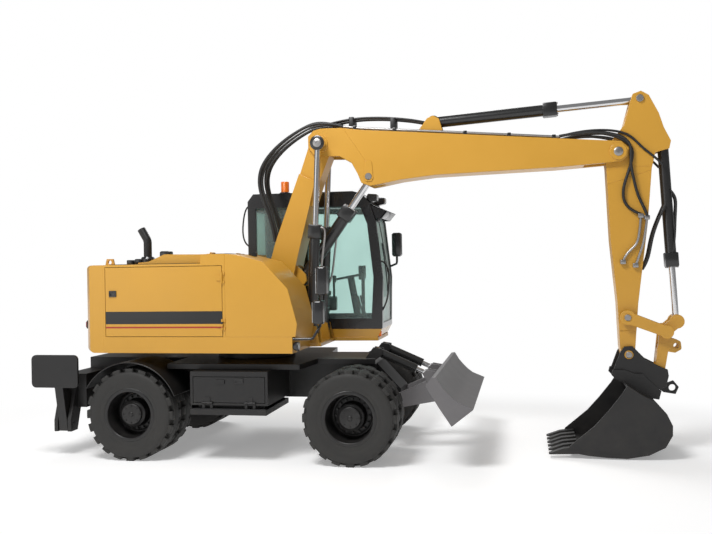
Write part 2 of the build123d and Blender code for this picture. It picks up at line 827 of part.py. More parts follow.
def make_cab():
    """The cab shell with its windows, door, glass, seat, lamps, mirrors and rails."""
    outline = [
        (cab_rear, cab_floor),
        (1440, cab_floor),
        (1505, 1360),
        (1517, 1988),
        (1440, 2692),
        (1360, 2930),
        (1270, 3040),
        (1150, 3075),
        (-150, 3075),
        (cab_rear, 2980),
    ]
    w = cab_wall
    inside = [
        (cab_rear + w, cab_floor + w),
        (1415, cab_floor + w),
        (1450, 1380),
        (1462, 1985),
        (1386, 2680),
        (1312, 2900),
        (1240, 2990),
        (1140, 3025),
        (-130, 3010),
        (cab_rear + w, 2950),
    ]
    shell = slab(outline, cab_in, cab_out) - slab(inside, cab_in + w, cab_out - w)
    wind = [(1600, 1420), (1600, 2920), (1320, 2920), (1320, 2880), (1380, 2690), (1430, 2010), (1425, 1420)]
    shell -= slab(wind, cab_in + w, cab_out - w)
    side = [(-120, 1620), (480, 1620), (480, 2890), (-120, 2890)]
    fore = [(560, 1480), (1370, 1480), (1400, 1990), (1330, 2660), (1250, 2870), (560, 2890)]
    shell -= slab(side, cab_in - 5, cab_in + w + 5)
    shell -= slab(fore, cab_in - 5, cab_in + w + 5)
    shell -= slab([(-120, 1620), (250, 1620), (250, 2890), (-120, 2890)], cab_out - w - 5, cab_out + 5)
    doorway = [(330, 1330), (1400, 1330), (1425, 1990), (1345, 2680), (1262, 2900), (330, 2930)]
    shell -= slab(doorway, cab_out - w - 5, cab_out + 5)
    shell -= block(cab_rear - 5, cab_rear + w + 5, cab_in + 120, cab_out - 120, 1900, 2860)
    hatch = (380.0, 950.0)
    shell -= block(hatch[0], hatch[1], cab_in + 150, cab_out - 150, 2990, 3100)

    g = door_gap
    leaf = [
        (330 + g, 1330 + g),
        (1400 - g, 1330 + g),
        (1425 - g, 1990),
        (1345 - g, 2680),
        (1262 - g, 2900 - g),
        (330 + g, 2930 - g),
    ]
    pane = [(420, 1500), (1320, 1500), (1342, 1990), (1270, 2640), (1215, 2820), (420, 2850)]
    door = slab(leaf, cab_out - 45, cab_out) - slab(pane, cab_out - 60, cab_out + 5)
    door += block(440, 560, cab_out - 5, cab_out + 25, 1420, 1460)
    for z in (1560, 2700):
        leaf, seat = hinge((330 + g / 2, cab_out + hinge_stand, z), (0, 0, 1), (0, -1, 0), (1, 0, 0))
        door += leaf
        shell += seat
    save("cab_shell", shell)
    save("cab_door", door)
    save("door_glass", slab(pane, cab_out - 30, cab_out - 30 + glass))

    panes = [
        slab(side, cab_in + 20, cab_in + 20 + glass),
        slab(fore, cab_in + 20, cab_in + 20 + glass),
        slab([(-120, 1620), (250, 1620), (250, 2890), (-120, 2890)], cab_out - 32, cab_out - 20),
        block(cab_rear + 20, cab_rear + 20 + glass, cab_in + 120, cab_out - 120, 1900, 2860),
        block(hatch[0], hatch[1], cab_in + 150, cab_out - 150, 3030, 3042),
        slab(
            [
                (1495, 1420),
                (1503, 1988),
                (1427, 2688),
                (1351, 2920),
                (1338, 2920),
                (1414, 2688),
                (1490, 1988),
                (1482, 1420),
            ],
            cab_in + w,
            cab_out - w,
        ),
    ]
    save("cab_glass", Compound(children=[s for p in panes for s in p.solids()]))

    mid = (cab_in + cab_out) / 2
    base = cab_floor + w
    seat = joined(
        block(250, 650, mid - 180, mid + 180, base, base + 220),
        block(200, 700, mid - 250, mid + 250, base + 200, base + 330),
        slab([(200, base + 300), (330, base + 300), (250, base + 1000), (120, base + 1000)], mid - 240, mid + 240),
    )
    for s in (-1, 1):
        y0, y1 = sorted((s * 240, s * 330))
        seat += block(220, 800, mid + y0, mid + y1, base + 250, base + 520)
        seat += upright(740, mid + s * 285, 22, base + 500, base + 720)
    save("operator_seat", seat)
    column = block(1090, 1200, mid - 55, mid + 55, base, base + 60)
    column += along((1150, base), (1020, base + 760), 45, 30, 700, mid)
    wheel_plane = Plane(origin=(1025, mid, base + 700), z_dir=(-0.17, 0, 0.985))
    column += wheel_plane * Cylinder(190, 28)
    save("steering_column", column)

    beacon = upright(222, 600, 70, 3075, 3095) + upright(222, 600, 52, 3090, 3240)
    save("beacon", beacon)
    lamps = []
    for y in (cab_in + 90, cab_out - 90):
        lamps += slab([(1315, 2985), (1360, 2930), (1455, 2950), (1455, 3030), (1340, 3040)], y - 70, y + 70).solids()
    save("work_lamps", Compound(children=lamps))


def make_arm():
    """The two-piece boom, the stick, the coupler, the bucket and the link work."""
    fx, fz = foot_pin
    kx, kz = knuckle_pin
    base = slab(
        [
            (fx - 125, fz + 40),
            (fx + 95, fz - 110),
            (fx + 250, fz + 110),
            (575, 2217),
            (745, 2870),
            (810, 3150),
            (620, 3250),
            (555, 3080),
            (309, 2423),
        ],
        -base_half,
        base_half,
    )
    base += across(foot_pin, 140, -base_half, base_half)
    base -= across(foot_pin, 55 + bush, -base_half - 5, base_half + 5)
    neck = [(430, 2760), (760, 2860), (870, 3180), (kx + 135, kz - 60), (kx - 120, kz + 70), (620, 3250)]
    base += slab(neck, -knuckle_half, knuckle_half)
    base += across(knuckle_pin, 140, -knuckle_half, knuckle_half)
    base -= across(knuckle_pin, 60 + bush, -knuckle_half - 5, knuckle_half + 5)
    lug = [
        (adjust_base[0] - 160, adjust_base[1] - 190),
        (adjust_base[0] + 30, adjust_base[1] - 75),
        (adjust_base[0] + 75, adjust_base[1] - 20),
        (adjust_base[0] + 60, adjust_base[1] + 60),
        (adjust_base[0] - 60, adjust_base[1] + 190),
    ]
    base += slab(lug, -base_half + 60, base_half - 60)
    slot_line = [
        (adjust_base[0] - 95, adjust_base[1] - 40),
        (adjust_base[0] + 20, adjust_base[1] - 160),
        (adjust_base[0] + 300, adjust_base[1] - 60),
        (adjust_base[0] + 400, adjust_base[1] + 700),
        (adjust_base[0] + 90, adjust_base[1] + 330),
        (adjust_base[0] - 10, adjust_base[1] + 190),
        (adjust_base[0] - 95, adjust_base[1] + 70),
    ]
    base -= slab(slot_line, -adjust_barrel_r - 8, adjust_barrel_r + 8)
    base += across(adjust_base, adjust_pin_r, -base_half + 60, base_half - 60)
    save("boom_base", base)

    spread = [
        (735, 3690),
        (800, 3758),
        (890, 3780),
        (1122, 3778),
        (1384, 3742),
        (2229, 3668),
        (3674, 3537),
        (4330, 3480),
        (4410, 3400),
        (4400, 3310),
        (4330, 3255),
        (4189, 3245),
        (3627, 3213),
        (2243, 3178),
        (1840, 3137),
        (1600, 3093),
        (1475, 3075),
        (1374, 3118),
        (1332, 3224),
        (1261, 3356),
        (1116, 3440),
        (960, 3445),
        (800, 3470),
        (735, 3560),
    ]
    boom = slab(spread, -boom_half, boom_half)
    inner = knuckle_half + pin_play
    boom -= across(knuckle_pin, 330, -inner, inner)
    boom += across(knuckle_pin, 60, -boom_half, boom_half)
    boom += across(knuckle_pin, 95, boom_half - 10, boom_half + 25)
    boom += across(knuckle_pin, 95, -boom_half - 25, -boom_half + 10)
    ax, az = adjust_pin
    eye_room = [
        (ax - 200, az - 140),
        (ax + 170, az - 140),
        (ax + 170, az + 60),
        (ax + 60, az + 150),
        (ax - 130, az + 150),
        (ax - 330, az + 130),
    ]
    boom -= slab(eye_room, -eye_half - 12, eye_half + 12)
    boom -= slab([(3935, 3100), (4600, 3100), (4600, 3700), (3935, 3700)], -nose_slot, nose_slot)
    boom += across(stick_pin, 55, -boom_half, boom_half)
    boom += across(stick_pin, 92, boom_half - 10, boom_half + 20)
    boom += across(stick_pin, 92, -boom_half - 20, -boom_half + 10)
    cx, cz = crowd_base
    for s in (-1, 1):
        y0, y1 = sorted((s * (crowd_barrel_r + 8), s * (crowd_barrel_r + 38)))
        boom += slab([(cx - 230, 3640), (cx + 130, 3640), (cx + 70, cz + 30), (cx, cz + 70), (cx - 70, cz + 40)], y0, y1)
    boom += across(crowd_base, crowd_pin_r, -crowd_barrel_r - 38, crowd_barrel_r + 38)
    save("boom_front", boom)

    outline = [
        (4440, 3925),
        (4470, 4010),
        (4557, 4040),
        (4640, 3990),
        (4744, 3783),
        (4795, 3620),
        (4868, 3470),
        (4850, 3385),
        (4790, 3370),
        (4700, 3345),
        (4660, 3171),
        (4608, 2559),
        (4493, 1668),
        (4455, 1171),
        (4440, 1010),
        (4320, 1000),
        (4290, 1171),
        (4270, 1670),
        (4207, 2370),
        (4172, 3190),
        (4155, 3330),
        (4210, 3470),
        (4300, 3575),
        (4369, 3662),
    ]
    stick = slab(outline, -stick_half, stick_half)
    for s in (-1, 1):
        y0, y1 = sorted((s * tip_half, s * (stick_half + 5)))
        stick -= slab([(4200, 900), (4600, 900), (4600, 1360), (4200, 1360)], y0, y1)
    stick -= across(stick_pin, 55 + bush, -stick_half - 5, stick_half + 5)
    mouth = eye_half + 8
    stick -= slab([(4250, 3680), (4420, 3735), (4640, 3760), (4900, 3720), (4900, 4300), (4250, 4300)], -mouth, mouth)
    gx, gz = curl_base
    seat = curl_barrel_r + 8
    stick -= slab([(gx - 95, gz + 95), (gx + 110, gz + 95), (gx + 110, gz - 200), (gx - 85, gz - 200)], -seat, seat)
    stick += across(curl_base, curl_pin_r, -stick_half, stick_half)
    reach_y = stick_half + 8 + ear_thick + 6
    stick += across(idler_pin, 48, -reach_y - idler_thick, reach_y + idler_thick)
    stick += across(bucket_pin, 48, -tip_half - ear_thick - 12, tip_half + ear_thick + 12)
    save("stick", stick)

    idlers = []
    for s in (-1, 1):
        y0, y1 = sorted((s * reach_y, s * (reach_y + idler_thick)))
        arm = link_plate(idler_pin, link_pin, 82, 74, y0, y1)
        arm -= across(idler_pin, 48 + bush, y0 - 5, y1 + 5)
        idlers += arm.solids()
    bar = across(link_pin, 45, -reach_y - 2, reach_y + 2)
    save("idler_links", joined(Compound(children=idlers), bar))

    tilt = []
    flank = eye_half + 8
    for s in (-1, 1):
        y0, y1 = sorted((s * flank, s * (flank + 42)))
        web = link_plate(link_pin, tilt_pin, 80, 62, y0, y1) + link_plate(link_pin, curl_pin, 80, 78, y0, y1)
        web += slab([(4800, 1290), (4940, 1240), (4950, 1150), (4880, 1110), (4760, 1130)], y0, y1, 30)
        web -= across(link_pin, 45 + bush, y0 - 5, y1 + 5)
        web -= across((4893, 1190), 30, y0 - 5, y1 + 5)
        tilt.append(web)
    bridge = slab([(4690, 1160), (4775, 1170), (4765, 1010), (4680, 1000)], -flank - 5, flank + 5)
    save("power_link", joined(tilt[0], tilt[1], bridge, across(tilt_pin, 54, -flank - 5, flank + 5)))

    ears = []
    for s in (-1, 1):
        y0, y1 = sorted((s * (tip_half + 7), s * (tip_half + 7 + ear_thick)))
        ear = slab(
            [
                (4282, 1110),
                (4330, 1182),
                (4420, 1188),
                (4560, 1040),
                (4700, 968),
                (4790, 930),
                (4800, 860),
                (4770, 735),
                (4640, 690),
                (4500, 750),
                (4330, 862),
                (4215, 930),
            ],
            y0,
            y1,
        )
        ear -= across(bucket_pin, 48 + bush, y0 - 5, y1 + 5)
        ears.append(ear)
    half = tip_half + 7 + ear_thick
    floor = slab(
        [
            (4330, 862),
            (4500, 750),
            (4640, 690),
            (4770, 735),
            (4755, 770),
            (4640, 730),
            (4512, 788),
            (4345, 900),
        ],
        -half,
        half,
    )
    hook = slab([(4755, 745), (4870, 790), (4925, 720), (4890, 640), (4760, 660), (4700, 705)], -25, 25)
    hook -= across((4855, 712), 38, -30, 30)
    save("quick_coupler", joined(ears[0], ears[1], floor, hook))

    outer = [
        (3700, 132),
        (3690, 70),
        (3900, 34),
        (4100, 17),
        (4304, 12),
        (4529, 54),
        (4697, 141),
        (4771, 271),
        (4773, 376),
        (4714, 503),
        (4605, 629),
        (4480, 690),
        (4316, 800),
        (4247, 694),
        (4110, 520),
        (3968, 359),
    ]
    cavity = [
        (3500, 200),
        (3705, 96),
        (3905, 58),
        (4104, 41),
        (4302, 36),
        (4520, 77),
        (4680, 159),
        (4747, 280),
        (4749, 370),
        (4694, 491),
        (4592, 610),
        (4468, 669),
        (4295, 786),
        (4100, 900),
    ]
    bucket = slab(outer, -bucket_half, bucket_half)
    bucket -= slab(cavity, -bucket_half + bucket_wall, bucket_half - bucket_wall)
    for i in range(tooth_count):
        y = -bucket_half + 45 + i * (2 * bucket_half - 90) / (tooth_count - 1)
        tooth = slab([(3800, 130), (3800, 52), (3640, 45), (3480, 40), (3480, 52), (3640, 110)], y - 42, y + 42)
        bucket += tooth
    ear = [
        (4185, 870),
        (4200, 925),
        (4315, 930),
        (4440, 885),
        (4517, 888),
        (4583, 820),
        (4715, 695),
        (4690, 600),
        (4605, 612),
        (4480, 670),
        (4316, 775),
        (4235, 815),
    ]
    for s in (-1, 1):
        y0, y1 = sorted((s * half, s * (half + 30)))
        bucket += slab(ear, y0, y1)
    save("bucket", bucket)


def link_plate(a, b, ra, rb, y0, y1):
    """A flat link with round ends about two pins."""
    angle = atan2(b[1] - a[1], b[0] - a[0])
    nx, nz = -sin(angle), cos(angle)
    bar = slab(
        [
            (a[0] + nx * ra * 0.8, a[1] + nz * ra * 0.8),
            (b[0] + nx * rb * 0.8, b[1] + nz * rb * 0.8),
            (b[0] - nx * rb * 0.8, b[1] - nz * rb * 0.8),
            (a[0] - nx * ra * 0.8, a[1] - nz * ra * 0.8),
        ],
        y0,
        y1,
    )
    return bar + across(a, ra, y0, y1) + across(b, rb, y0, y1)


def ram(start, end, barrel_r, rod_r, gland, stroke_in, eye_r, pin_r, y=0.0):
    """One ram at its rest length: the barrel with its eye, and the rod with its eye.

    The rod ends short of the barrel's tail by the stroke that it still has to draw in.
    """
    span = reach(start, end)
    half = barrel_r + 2
    barrel = along(start, end, barrel_r, eye_r * 0.7, gland, y) + across(start, eye_r, y - half, y + half)
    barrel += along(start, end, barrel_r + 10, gland - 90, gland, y)
    barrel -= across(start, pin_r + bush, y - half - 5, y + half + 5)
    tail = eye_r + 12
    barrel -= along(start, end, rod_r + rod_play, tail, gland + 5, y)
    rod = along(start, end, rod_r, tail + stroke_in, span, y) + across(end, eye_r, y - eye_half, y + eye_half)
    return barrel, rod


def make_rams():
    """The rams of the boom, the stick and the bucket."""
    barrels = []
    rods = []
    for s in (-1, 1):
        barrel, rod = ram(
            lift_base,
            knuckle_pin,
            lift_barrel_r,
            lift_rod_r,
            lift_gland,
            lift_stroke_in,
            lift_eye_r,
            lift_pin_r,
            s * lift_y,
        )
        barrels += barrel.solids()
        rods += rod.solids()
    save("lift_ram_barrels", Compound(children=barrels))
    save("lift_ram_rods", Compound(children=rods))

    barrel, rod = ram(
        adjust_base,
        adjust_pin,
        adjust_barrel_r,
        adjust_rod_r,
        adjust_gland,
        adjust_stroke_in,
        adjust_eye_r,
        adjust_pin_r,
    )
    save("adjust_ram_barrel", barrel)
    save("adjust_ram_rod", rod)

    barrel, rod = ram(
        crowd_base,
        crowd_pin,
        crowd_barrel_r,
        crowd_rod_r,
        crowd_gland,
        crowd_stroke_in,
        crowd_eye_r,
        crowd_pin_r,
    )
    save("crowd_ram_barrel", barrel)
    save("crowd_ram_rod", rod)

    barrel, rod = ram(
        curl_base,
        curl_pin,
        curl_barrel_r,
        curl_rod_r,
        curl_gland,
        curl_stroke_in,
        curl_eye_r,
        curl_pin_r,
    )
    save("curl_ram_barrel", barrel)
    save("curl_ram_rod", rod)


def main():
    os.makedirs("parts", exist_ok=True)
    make_wheels()
    make_axles()
    make_chassis()
    make_blade()
    make_outriggers()
    make_upper()
    make_cab()
    make_arm()
    make_rams()


if __name__ == "__main__":
    main()
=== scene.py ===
"""Looks of a wheeled excavator, built as an add-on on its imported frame.

Every piece is in metres in the frame's own axes: X forward, Y to the left, Z up from the ground.
"""

import json
from math import atan2, cos, pi, radians, sin
import bpy
from bpy.props import FloatProperty, FloatVectorProperty, IntProperty, PointerProperty
from mathutils import Matrix, Vector

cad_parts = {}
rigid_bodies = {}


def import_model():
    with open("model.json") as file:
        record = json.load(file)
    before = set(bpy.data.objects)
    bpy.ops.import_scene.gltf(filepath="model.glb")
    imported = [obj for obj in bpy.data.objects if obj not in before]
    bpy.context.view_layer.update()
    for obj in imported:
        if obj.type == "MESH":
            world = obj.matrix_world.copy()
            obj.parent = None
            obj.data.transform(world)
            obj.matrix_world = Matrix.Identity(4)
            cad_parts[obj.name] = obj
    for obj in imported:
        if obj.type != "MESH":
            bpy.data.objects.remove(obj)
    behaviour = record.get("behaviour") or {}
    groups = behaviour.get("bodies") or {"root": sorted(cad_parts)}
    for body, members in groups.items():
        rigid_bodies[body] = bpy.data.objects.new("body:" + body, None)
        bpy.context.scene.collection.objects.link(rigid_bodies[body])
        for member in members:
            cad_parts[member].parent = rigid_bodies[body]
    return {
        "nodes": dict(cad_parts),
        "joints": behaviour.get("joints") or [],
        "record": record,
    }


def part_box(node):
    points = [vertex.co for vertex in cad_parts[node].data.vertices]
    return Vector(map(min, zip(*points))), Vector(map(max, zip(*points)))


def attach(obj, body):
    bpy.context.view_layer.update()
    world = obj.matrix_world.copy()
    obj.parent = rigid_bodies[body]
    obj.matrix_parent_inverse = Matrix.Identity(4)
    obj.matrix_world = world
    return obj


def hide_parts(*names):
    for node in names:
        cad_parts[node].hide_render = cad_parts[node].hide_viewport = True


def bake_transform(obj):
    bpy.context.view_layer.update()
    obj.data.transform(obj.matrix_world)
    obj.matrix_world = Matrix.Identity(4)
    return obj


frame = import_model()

bl_info = {
    "name": "Wheeled excavator",
    "version": (1, 0, 0),
    "blender": (4, 5, 0),
    "location": "View3D > Sidebar > Excavator",
    "description": "Builds the looks of a wheeled excavator on its packed frame",
    "category": "Object",
}

NODES = frame["nodes"]
JOINTS = {j["name"]: j for j in frame["joints"]}
SLOT_OF = {s["node"]: s["material_slot"] for s in frame["record"]["subparts"]}

SIDES = (("right", -1), ("left", 1))

# The swing axis, from which the machine is measured along X
SWING_X = JOINTS["slew"]["pos_m"][0]


def spot(x, y, z):
    """A place from the swing axis, the middle plane and the ground."""
    return Vector((SWING_X + x, y, z))


# Selection and modelling helpers


def alone(obj):
    """Makes one object the only selected and the active one."""
    for other in bpy.context.view_layer.objects:
        other.select_set(False)
    obj.select_set(True)
    bpy.context.view_layer.objects.active = obj
    return obj


def edit(obj, mode="VERT"):
    """Opens an object for editing with nothing selected."""
    alone(obj)
    bpy.ops.object.mode_set(mode="EDIT")
    bpy.ops.mesh.select_mode(type=mode)
    bpy.ops.mesh.select_all(action="DESELECT")


def named(name):
    """The object made last, under its name."""
    obj = bpy.context.object
    obj.name = name
    return obj


def take_all():
    """Selects all of the mesh that is open for editing."""
    bpy.ops.mesh.select_all(action="SELECT")


def close():
    """Ends editing."""
    bpy.ops.object.mode_set(mode="OBJECT")


def pick_faces(obj, test):
    """Selects the faces whose centre and normal pass a test, and opens the object for editing."""
    edit(obj, "FACE")
    close()
    for face in obj.data.polygons:
        face.select = test(face.center, face.normal)
    bpy.ops.object.mode_set(mode="EDIT")


def apply_modifiers(obj):
    """Makes an object's modifiers part of its mesh."""
    alone(obj)
    for modifier in list(obj.modifiers):
        bpy.ops.object.modifier_apply(modifier=modifier.name)
    return obj


def settle(obj):
    """Puts an object's place into its mesh, so that it sits at the origin."""
    alone(obj)
    bpy.ops.object.transform_apply(location=True, rotation=True, scale=True)
    return obj


def smooth(obj, angle=35.0):
    """Shades an object smooth, apart from edges sharper than an angle in degrees."""
    alone(obj)
    bpy.ops.object.shade_smooth_by_angle(angle=radians(angle))
    return obj


def bevelled(obj, width, segments=2, angle=35.0):
    """Rounds an object's sharp edges."""
    rounding = obj.modifiers.new("Rounding", "BEVEL")
    rounding.width = width
    rounding.segments = segments
    rounding.limit_method = "ANGLE"
    rounding.angle_limit = radians(angle)
    rounding.harden_normals = True
    apply_modifiers(obj)
    return smooth(obj)


def traced(name, places):
    """A line of edges through a run of places, open for editing with all of it selected."""
    bpy.ops.mesh.primitive_plane_add(size=0.01)
    obj = named(name)
    edit(obj)
    take_all()
    bpy.ops.mesh.merge(type="CENTER")
    bpy.ops.transform.translate(value=places[0])
    for before, after in zip(places, places[1:]):
        bpy.ops.mesh.extrude_region_move(TRANSFORM_OT_translate={"value": after - before})
    take_all()
    return obj


def lathe(name, profile, centre, steps, axis=(0, 1, 0), out=(1, 0, 0)):
    """A turned piece: a profile of (radius, along) spun about an axis through centre."""
    axis, out = Vector(axis).normalized(), Vector(out).normalized()
    obj = traced(name, [out * r + axis * a for r, a in profile])
    bpy.ops.mesh.spin(steps=steps, angle=2 * pi, center=(0, 0, 0), axis=axis)
    take_all()
    bpy.ops.mesh.remove_doubles(threshold=0.00005)
    bpy.ops.mesh.normals_make_consistent(inside=False)
    close()
    obj.location = centre
    return settle(obj)


def upright(name, profile, foot, steps=40):
    """A turned piece that stands on a place."""
    return lathe(name, profile, foot, steps, (0, 0, 1), (1, 0, 0))


def tube(name, points, radius, sides=3, order=4):
    """A round hose or pipe along a smooth run of points."""
    bpy.ops.curve.primitive_nurbs_path_add()
    obj = named(name)
    run = obj.data
    run.splines.clear()
    spline = run.splines.new("NURBS")
    spline.points.add(len(points) - 1)
    for place, p in zip(spline.points, points):
        place.co = (*p, 1.0)
    spline.use_endpoint_u = True
    spline.order_u = min(order, len(points))
    run.bevel_depth = radius
    run.bevel_resolution = sides
    run.resolution_u = 8
    run.use_fill_caps = True
    alone(obj)
    bpy.ops.object.convert(target="MESH")
    return smooth(settle(bpy.context.object), 50)


def cuboid(name, low, high, rounding=0.0, segments=2):
    """A block between two corners with rounded edges."""
    low, high = Vector(low), Vector(high)
    bpy.ops.mesh.primitive_cube_add(size=1.0)
    obj = named(name)
    bpy.ops.object.mode_set(mode="EDIT")
    take_all()
    bpy.ops.transform.resize(value=high - low)
    if rounding:
        bpy.ops.mesh.bevel(offset=rounding, segments=segments, affect="EDGES")
    close()
    obj.location = (low + high) / 2
    return smooth(settle(obj))


def joined(name, objects):
    """Several objects as one."""
    alone(objects[0])
    for obj in objects[1:]:
        obj.select_set(True)
    bpy.ops.object.join()
    return named(name)


def copy_of(obj, name, matrix):
    """A copy with its own mesh, set by a matrix."""
    twin = obj.copy()
    twin.data = obj.data.copy()
    twin.name = name
    bpy.context.scene.collection.objects.link(twin)
    twin.matrix_world = matrix @ obj.matrix_world
    return settle(twin)


def mirrored_copy(obj, name):
    """A copy on the other side of the machine, with its faces turned out again."""
    twin = copy_of(obj, name, Matrix.Scale(-1, 4, (0, 1, 0)))
    edit(twin)
    take_all()
    bpy.ops.mesh.normals_make_consistent(inside=False)
    close()
    return twin


def facing(direction):
    """The turn that lays a Z axis along a direction."""
    return Vector(direction).to_track_quat("Z", "Y").to_matrix().to_4x4()


def bolts(name, places, direction, radius, height):
    """A set of hexagon bolts with washers, as one object."""
    bpy.ops.mesh.primitive_cylinder_add(vertices=6, radius=radius, depth=height, location=(0, 0, height / 2))
    head = bevelled(settle(bpy.context.object), radius * 0.12, 1)
    bpy.ops.mesh.primitive_cylinder_add(
        vertices=16, radius=radius * 1.35, depth=height * 0.3, location=(0, 0, height * 0.1)
    )
    washer = bevelled(settle(bpy.context.object), radius * 0.06, 1)
    one = joined(name + "_one", [head, washer])
    turn = facing(direction)
    made = [copy_of(one, f"{name}_{i}", Matrix.Translation(p) @ turn) for i, p in enumerate(places)]
    bpy.data.objects.remove(one)
    return joined(name, made)


def block_along(name, start, end, a, b, half, bore=0.0, rounding=0.01):
    """A square block about a line, from a to b along it, with a round bore if one is given."""
    axis = (end - start).normalized()
    bpy.ops.mesh.primitive_cube_add(size=1.0)
    obj = named(name)
    bpy.ops.object.mode_set(mode="EDIT")
    take_all()
    bpy.ops.transform.resize(value=(2 * half, 2 * half, b - a))
    bpy.ops.mesh.bevel(offset=rounding, segments=2, affect="EDGES")
    close()
    if bore:
        bpy.ops.mesh.primitive_cylinder_add(vertices=40, radius=bore, depth=(b - a) * 2)
        drill = bpy.context.object
        hole = obj.modifiers.new("Bore", "BOOLEAN")
        hole.object = drill
        apply_modifiers(obj)
        bpy.data.objects.remove(drill)
    obj.matrix_world = Matrix.Translation(start + axis * (a + b) / 2) @ facing(axis)
    return smooth(settle(obj))


def plate(name, points, y0, y1, rounding=0.004):
    """A flat plate between two places across the machine, from its outline of (x, z)."""
    obj = traced(name, [spot(x, y0, z) for x, z in points])
    bpy.ops.mesh.edge_face_add()
    bpy.ops.mesh.extrude_region_move(TRANSFORM_OT_translate={"value": (0, y1 - y0, 0)})
    take_all()
    bpy.ops.mesh.normals_make_consistent(inside=False)
    close()
    settle(obj)
    return bevelled(obj, rounding) if rounding else smooth(obj)


def finish_piece(obj, body, slot):
    """Gives a piece its material, the frame's slot of the same name and its body."""
    obj.data.materials.clear()
    obj.data.materials.append(MATERIALS[slot])
    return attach(obj, body)


# Materials


def link(start, start_socket, end, end_socket):
    """Joins an output of one shader node to an input of another."""
    start.id_data.links.new(start.outputs[start_socket], end.inputs[end_socket])


def preset(made, values):
    """Sets the first values of a shader node, by socket."""
    for socket, value in values.items():
        made.inputs[socket].default_value = value


def add_node(tree, kind, values=None, operation=None):
    """A new shader node with its first values."""
    made = tree.nodes.new("ShaderNode" + kind)
    if operation:
        made.operation = operation
    preset(made, values or {})
    return made


def new_group(name, inputs, outputs):
    """A shader node group with its sockets: name, socket type and first value."""
    tree = bpy.data.node_groups.new(name, "ShaderNodeTree")
    for label, kind, value in inputs:
        tree.interface.new_socket(label, in_out="INPUT", socket_type=kind).default_value = value
    for label, kind in outputs:
        tree.interface.new_socket(label, in_out="OUTPUT", socket_type=kind)
    return tree, tree.nodes.new("NodeGroupInput"), tree.nodes.new("NodeGroupOutput")


def paint_film_group():
    """Paint with a faint mottle, an orange peel and a little change of gloss."""
    tree, entry, out = new_group(
        "Paint film",
        (
            ("Colour", "NodeSocketColor", (0.5, 0.5, 0.5, 1)),
            ("Mottle", "NodeSocketFloat", 0.06),
            ("Roughness", "NodeSocketFloat", 0.35),
            ("Peel", "NodeSocketFloat", 0.04),
            ("Peel scale", "NodeSocketFloat", 260.0),
        ),
        (("Colour", "NodeSocketColor"), ("Roughness", "NodeSocketFloat"), ("Normal", "NodeSocketVector")),
    )
    place = add_node(tree, "TexCoord")
    wide = add_node(tree, "TexNoise", {"Scale": 2.2, "Detail": 5.0})
    fine = add_node(tree, "TexNoise", {"Detail": 2.0})
    link(place, "Object", wide, "Vector")
    link(place, "Object", fine, "Vector")
    link(entry, "Peel scale", fine, "Scale")
    swing = add_node(tree, "Math", {1: 2.0, 2: -1.0}, operation="MULTIPLY_ADD")
    link(wide, "Fac", swing, 0)
    change = add_node(tree, "Math", {2: 1.0}, operation="MULTIPLY_ADD")
    link(swing, "Value", change, 0)
    link(entry, "Mottle", change, 1)
    shade = add_node(tree, "HueSaturation")
    link(entry, "Colour", shade, "Color")
    link(change, "Value", shade, "Value")
    link(shade, "Color", out, "Colour")
    gloss = add_node(tree, "Math", {1: 0.08}, operation="MULTIPLY_ADD")
    link(swing, "Value", gloss, 0)
    link(entry, "Roughness", gloss, 2)
    link(gloss, "Value", out, "Roughness")
    bump = add_node(tree, "Bump", {"Distance": 0.002})
    link(entry, "Peel", bump, "Strength")
    link(fine, "Fac", bump, "Height")
    link(bump, "Normal", out, "Normal")
    return tree


def road_dust_group():
    """A thin film of dust in patches that thins out with height."""
    tree, entry, out = new_group(
        "Road dust",
        (
            ("Colour", "NodeSocketColor", (0.1, 0.1, 0.1, 1)),
            ("Dust", "NodeSocketColor", (0.17, 0.15, 0.125, 1)),
            ("Reach", "NodeSocketFloat", 1.0),
            ("Amount", "NodeSocketFloat", 0.25),
        ),
        (("Colour", "NodeSocketColor"), ("Mask", "NodeSocketFloat")),
    )
    place = add_node(tree, "TexCoord")
    axes = add_node(tree, "SeparateXYZ")
    link(place, "Object", axes, "Vector")
    fade = add_node(tree, "MapRange", {"To Min": 1.0, "To Max": 0.0})
    link(axes, "Z", fade, "Value")
    link(entry, "Reach", fade, "From Max")
    cloud = add_node(tree, "TexNoise", {"Scale": 5.0, "Detail": 8.0, "Roughness": 0.65})
    link(place, "Object", cloud, "Vector")
    patchy = add_node(tree, "MapRange", {"From Min": 0.35, "From Max": 0.75})
    link(cloud, "Fac", patchy, "Value")
    both = add_node(tree, "Math", operation="MULTIPLY")
    link(fade, "Result", both, 0)
    link(patchy, "Result", both, 1)
    share = add_node(tree, "Math", operation="MULTIPLY")
    share.use_clamp = True
    link(both, "Value", share, 0)
    link(entry, "Amount", share, 1)
    mix = add_node(tree, "Mix")
    mix.data_type = "RGBA"
    link(share, 0, mix, "Factor")
    link(entry, "Colour", mix, 6)
    link(entry, "Dust", mix, 7)
    link(mix, 2, out, "Colour")
    link(share, "Value", out, "Mask")
    return tree


GROUPS = {}


def shared(name):
    """A node group, made once."""
    makers = {"Paint film": paint_film_group, "Road dust": road_dust_group}
    if name not in GROUPS:
        GROUPS[name] = makers[name]()
    return GROUPS[name]


def blank(name):
    """A new material with its tree, its Principled shader and its output."""
    material = bpy.data.materials.new(name)
    material.use_nodes = True
    tree = material.node_tree
    return material, tree, tree.nodes["Principled BSDF"], tree.nodes["Material Output"]


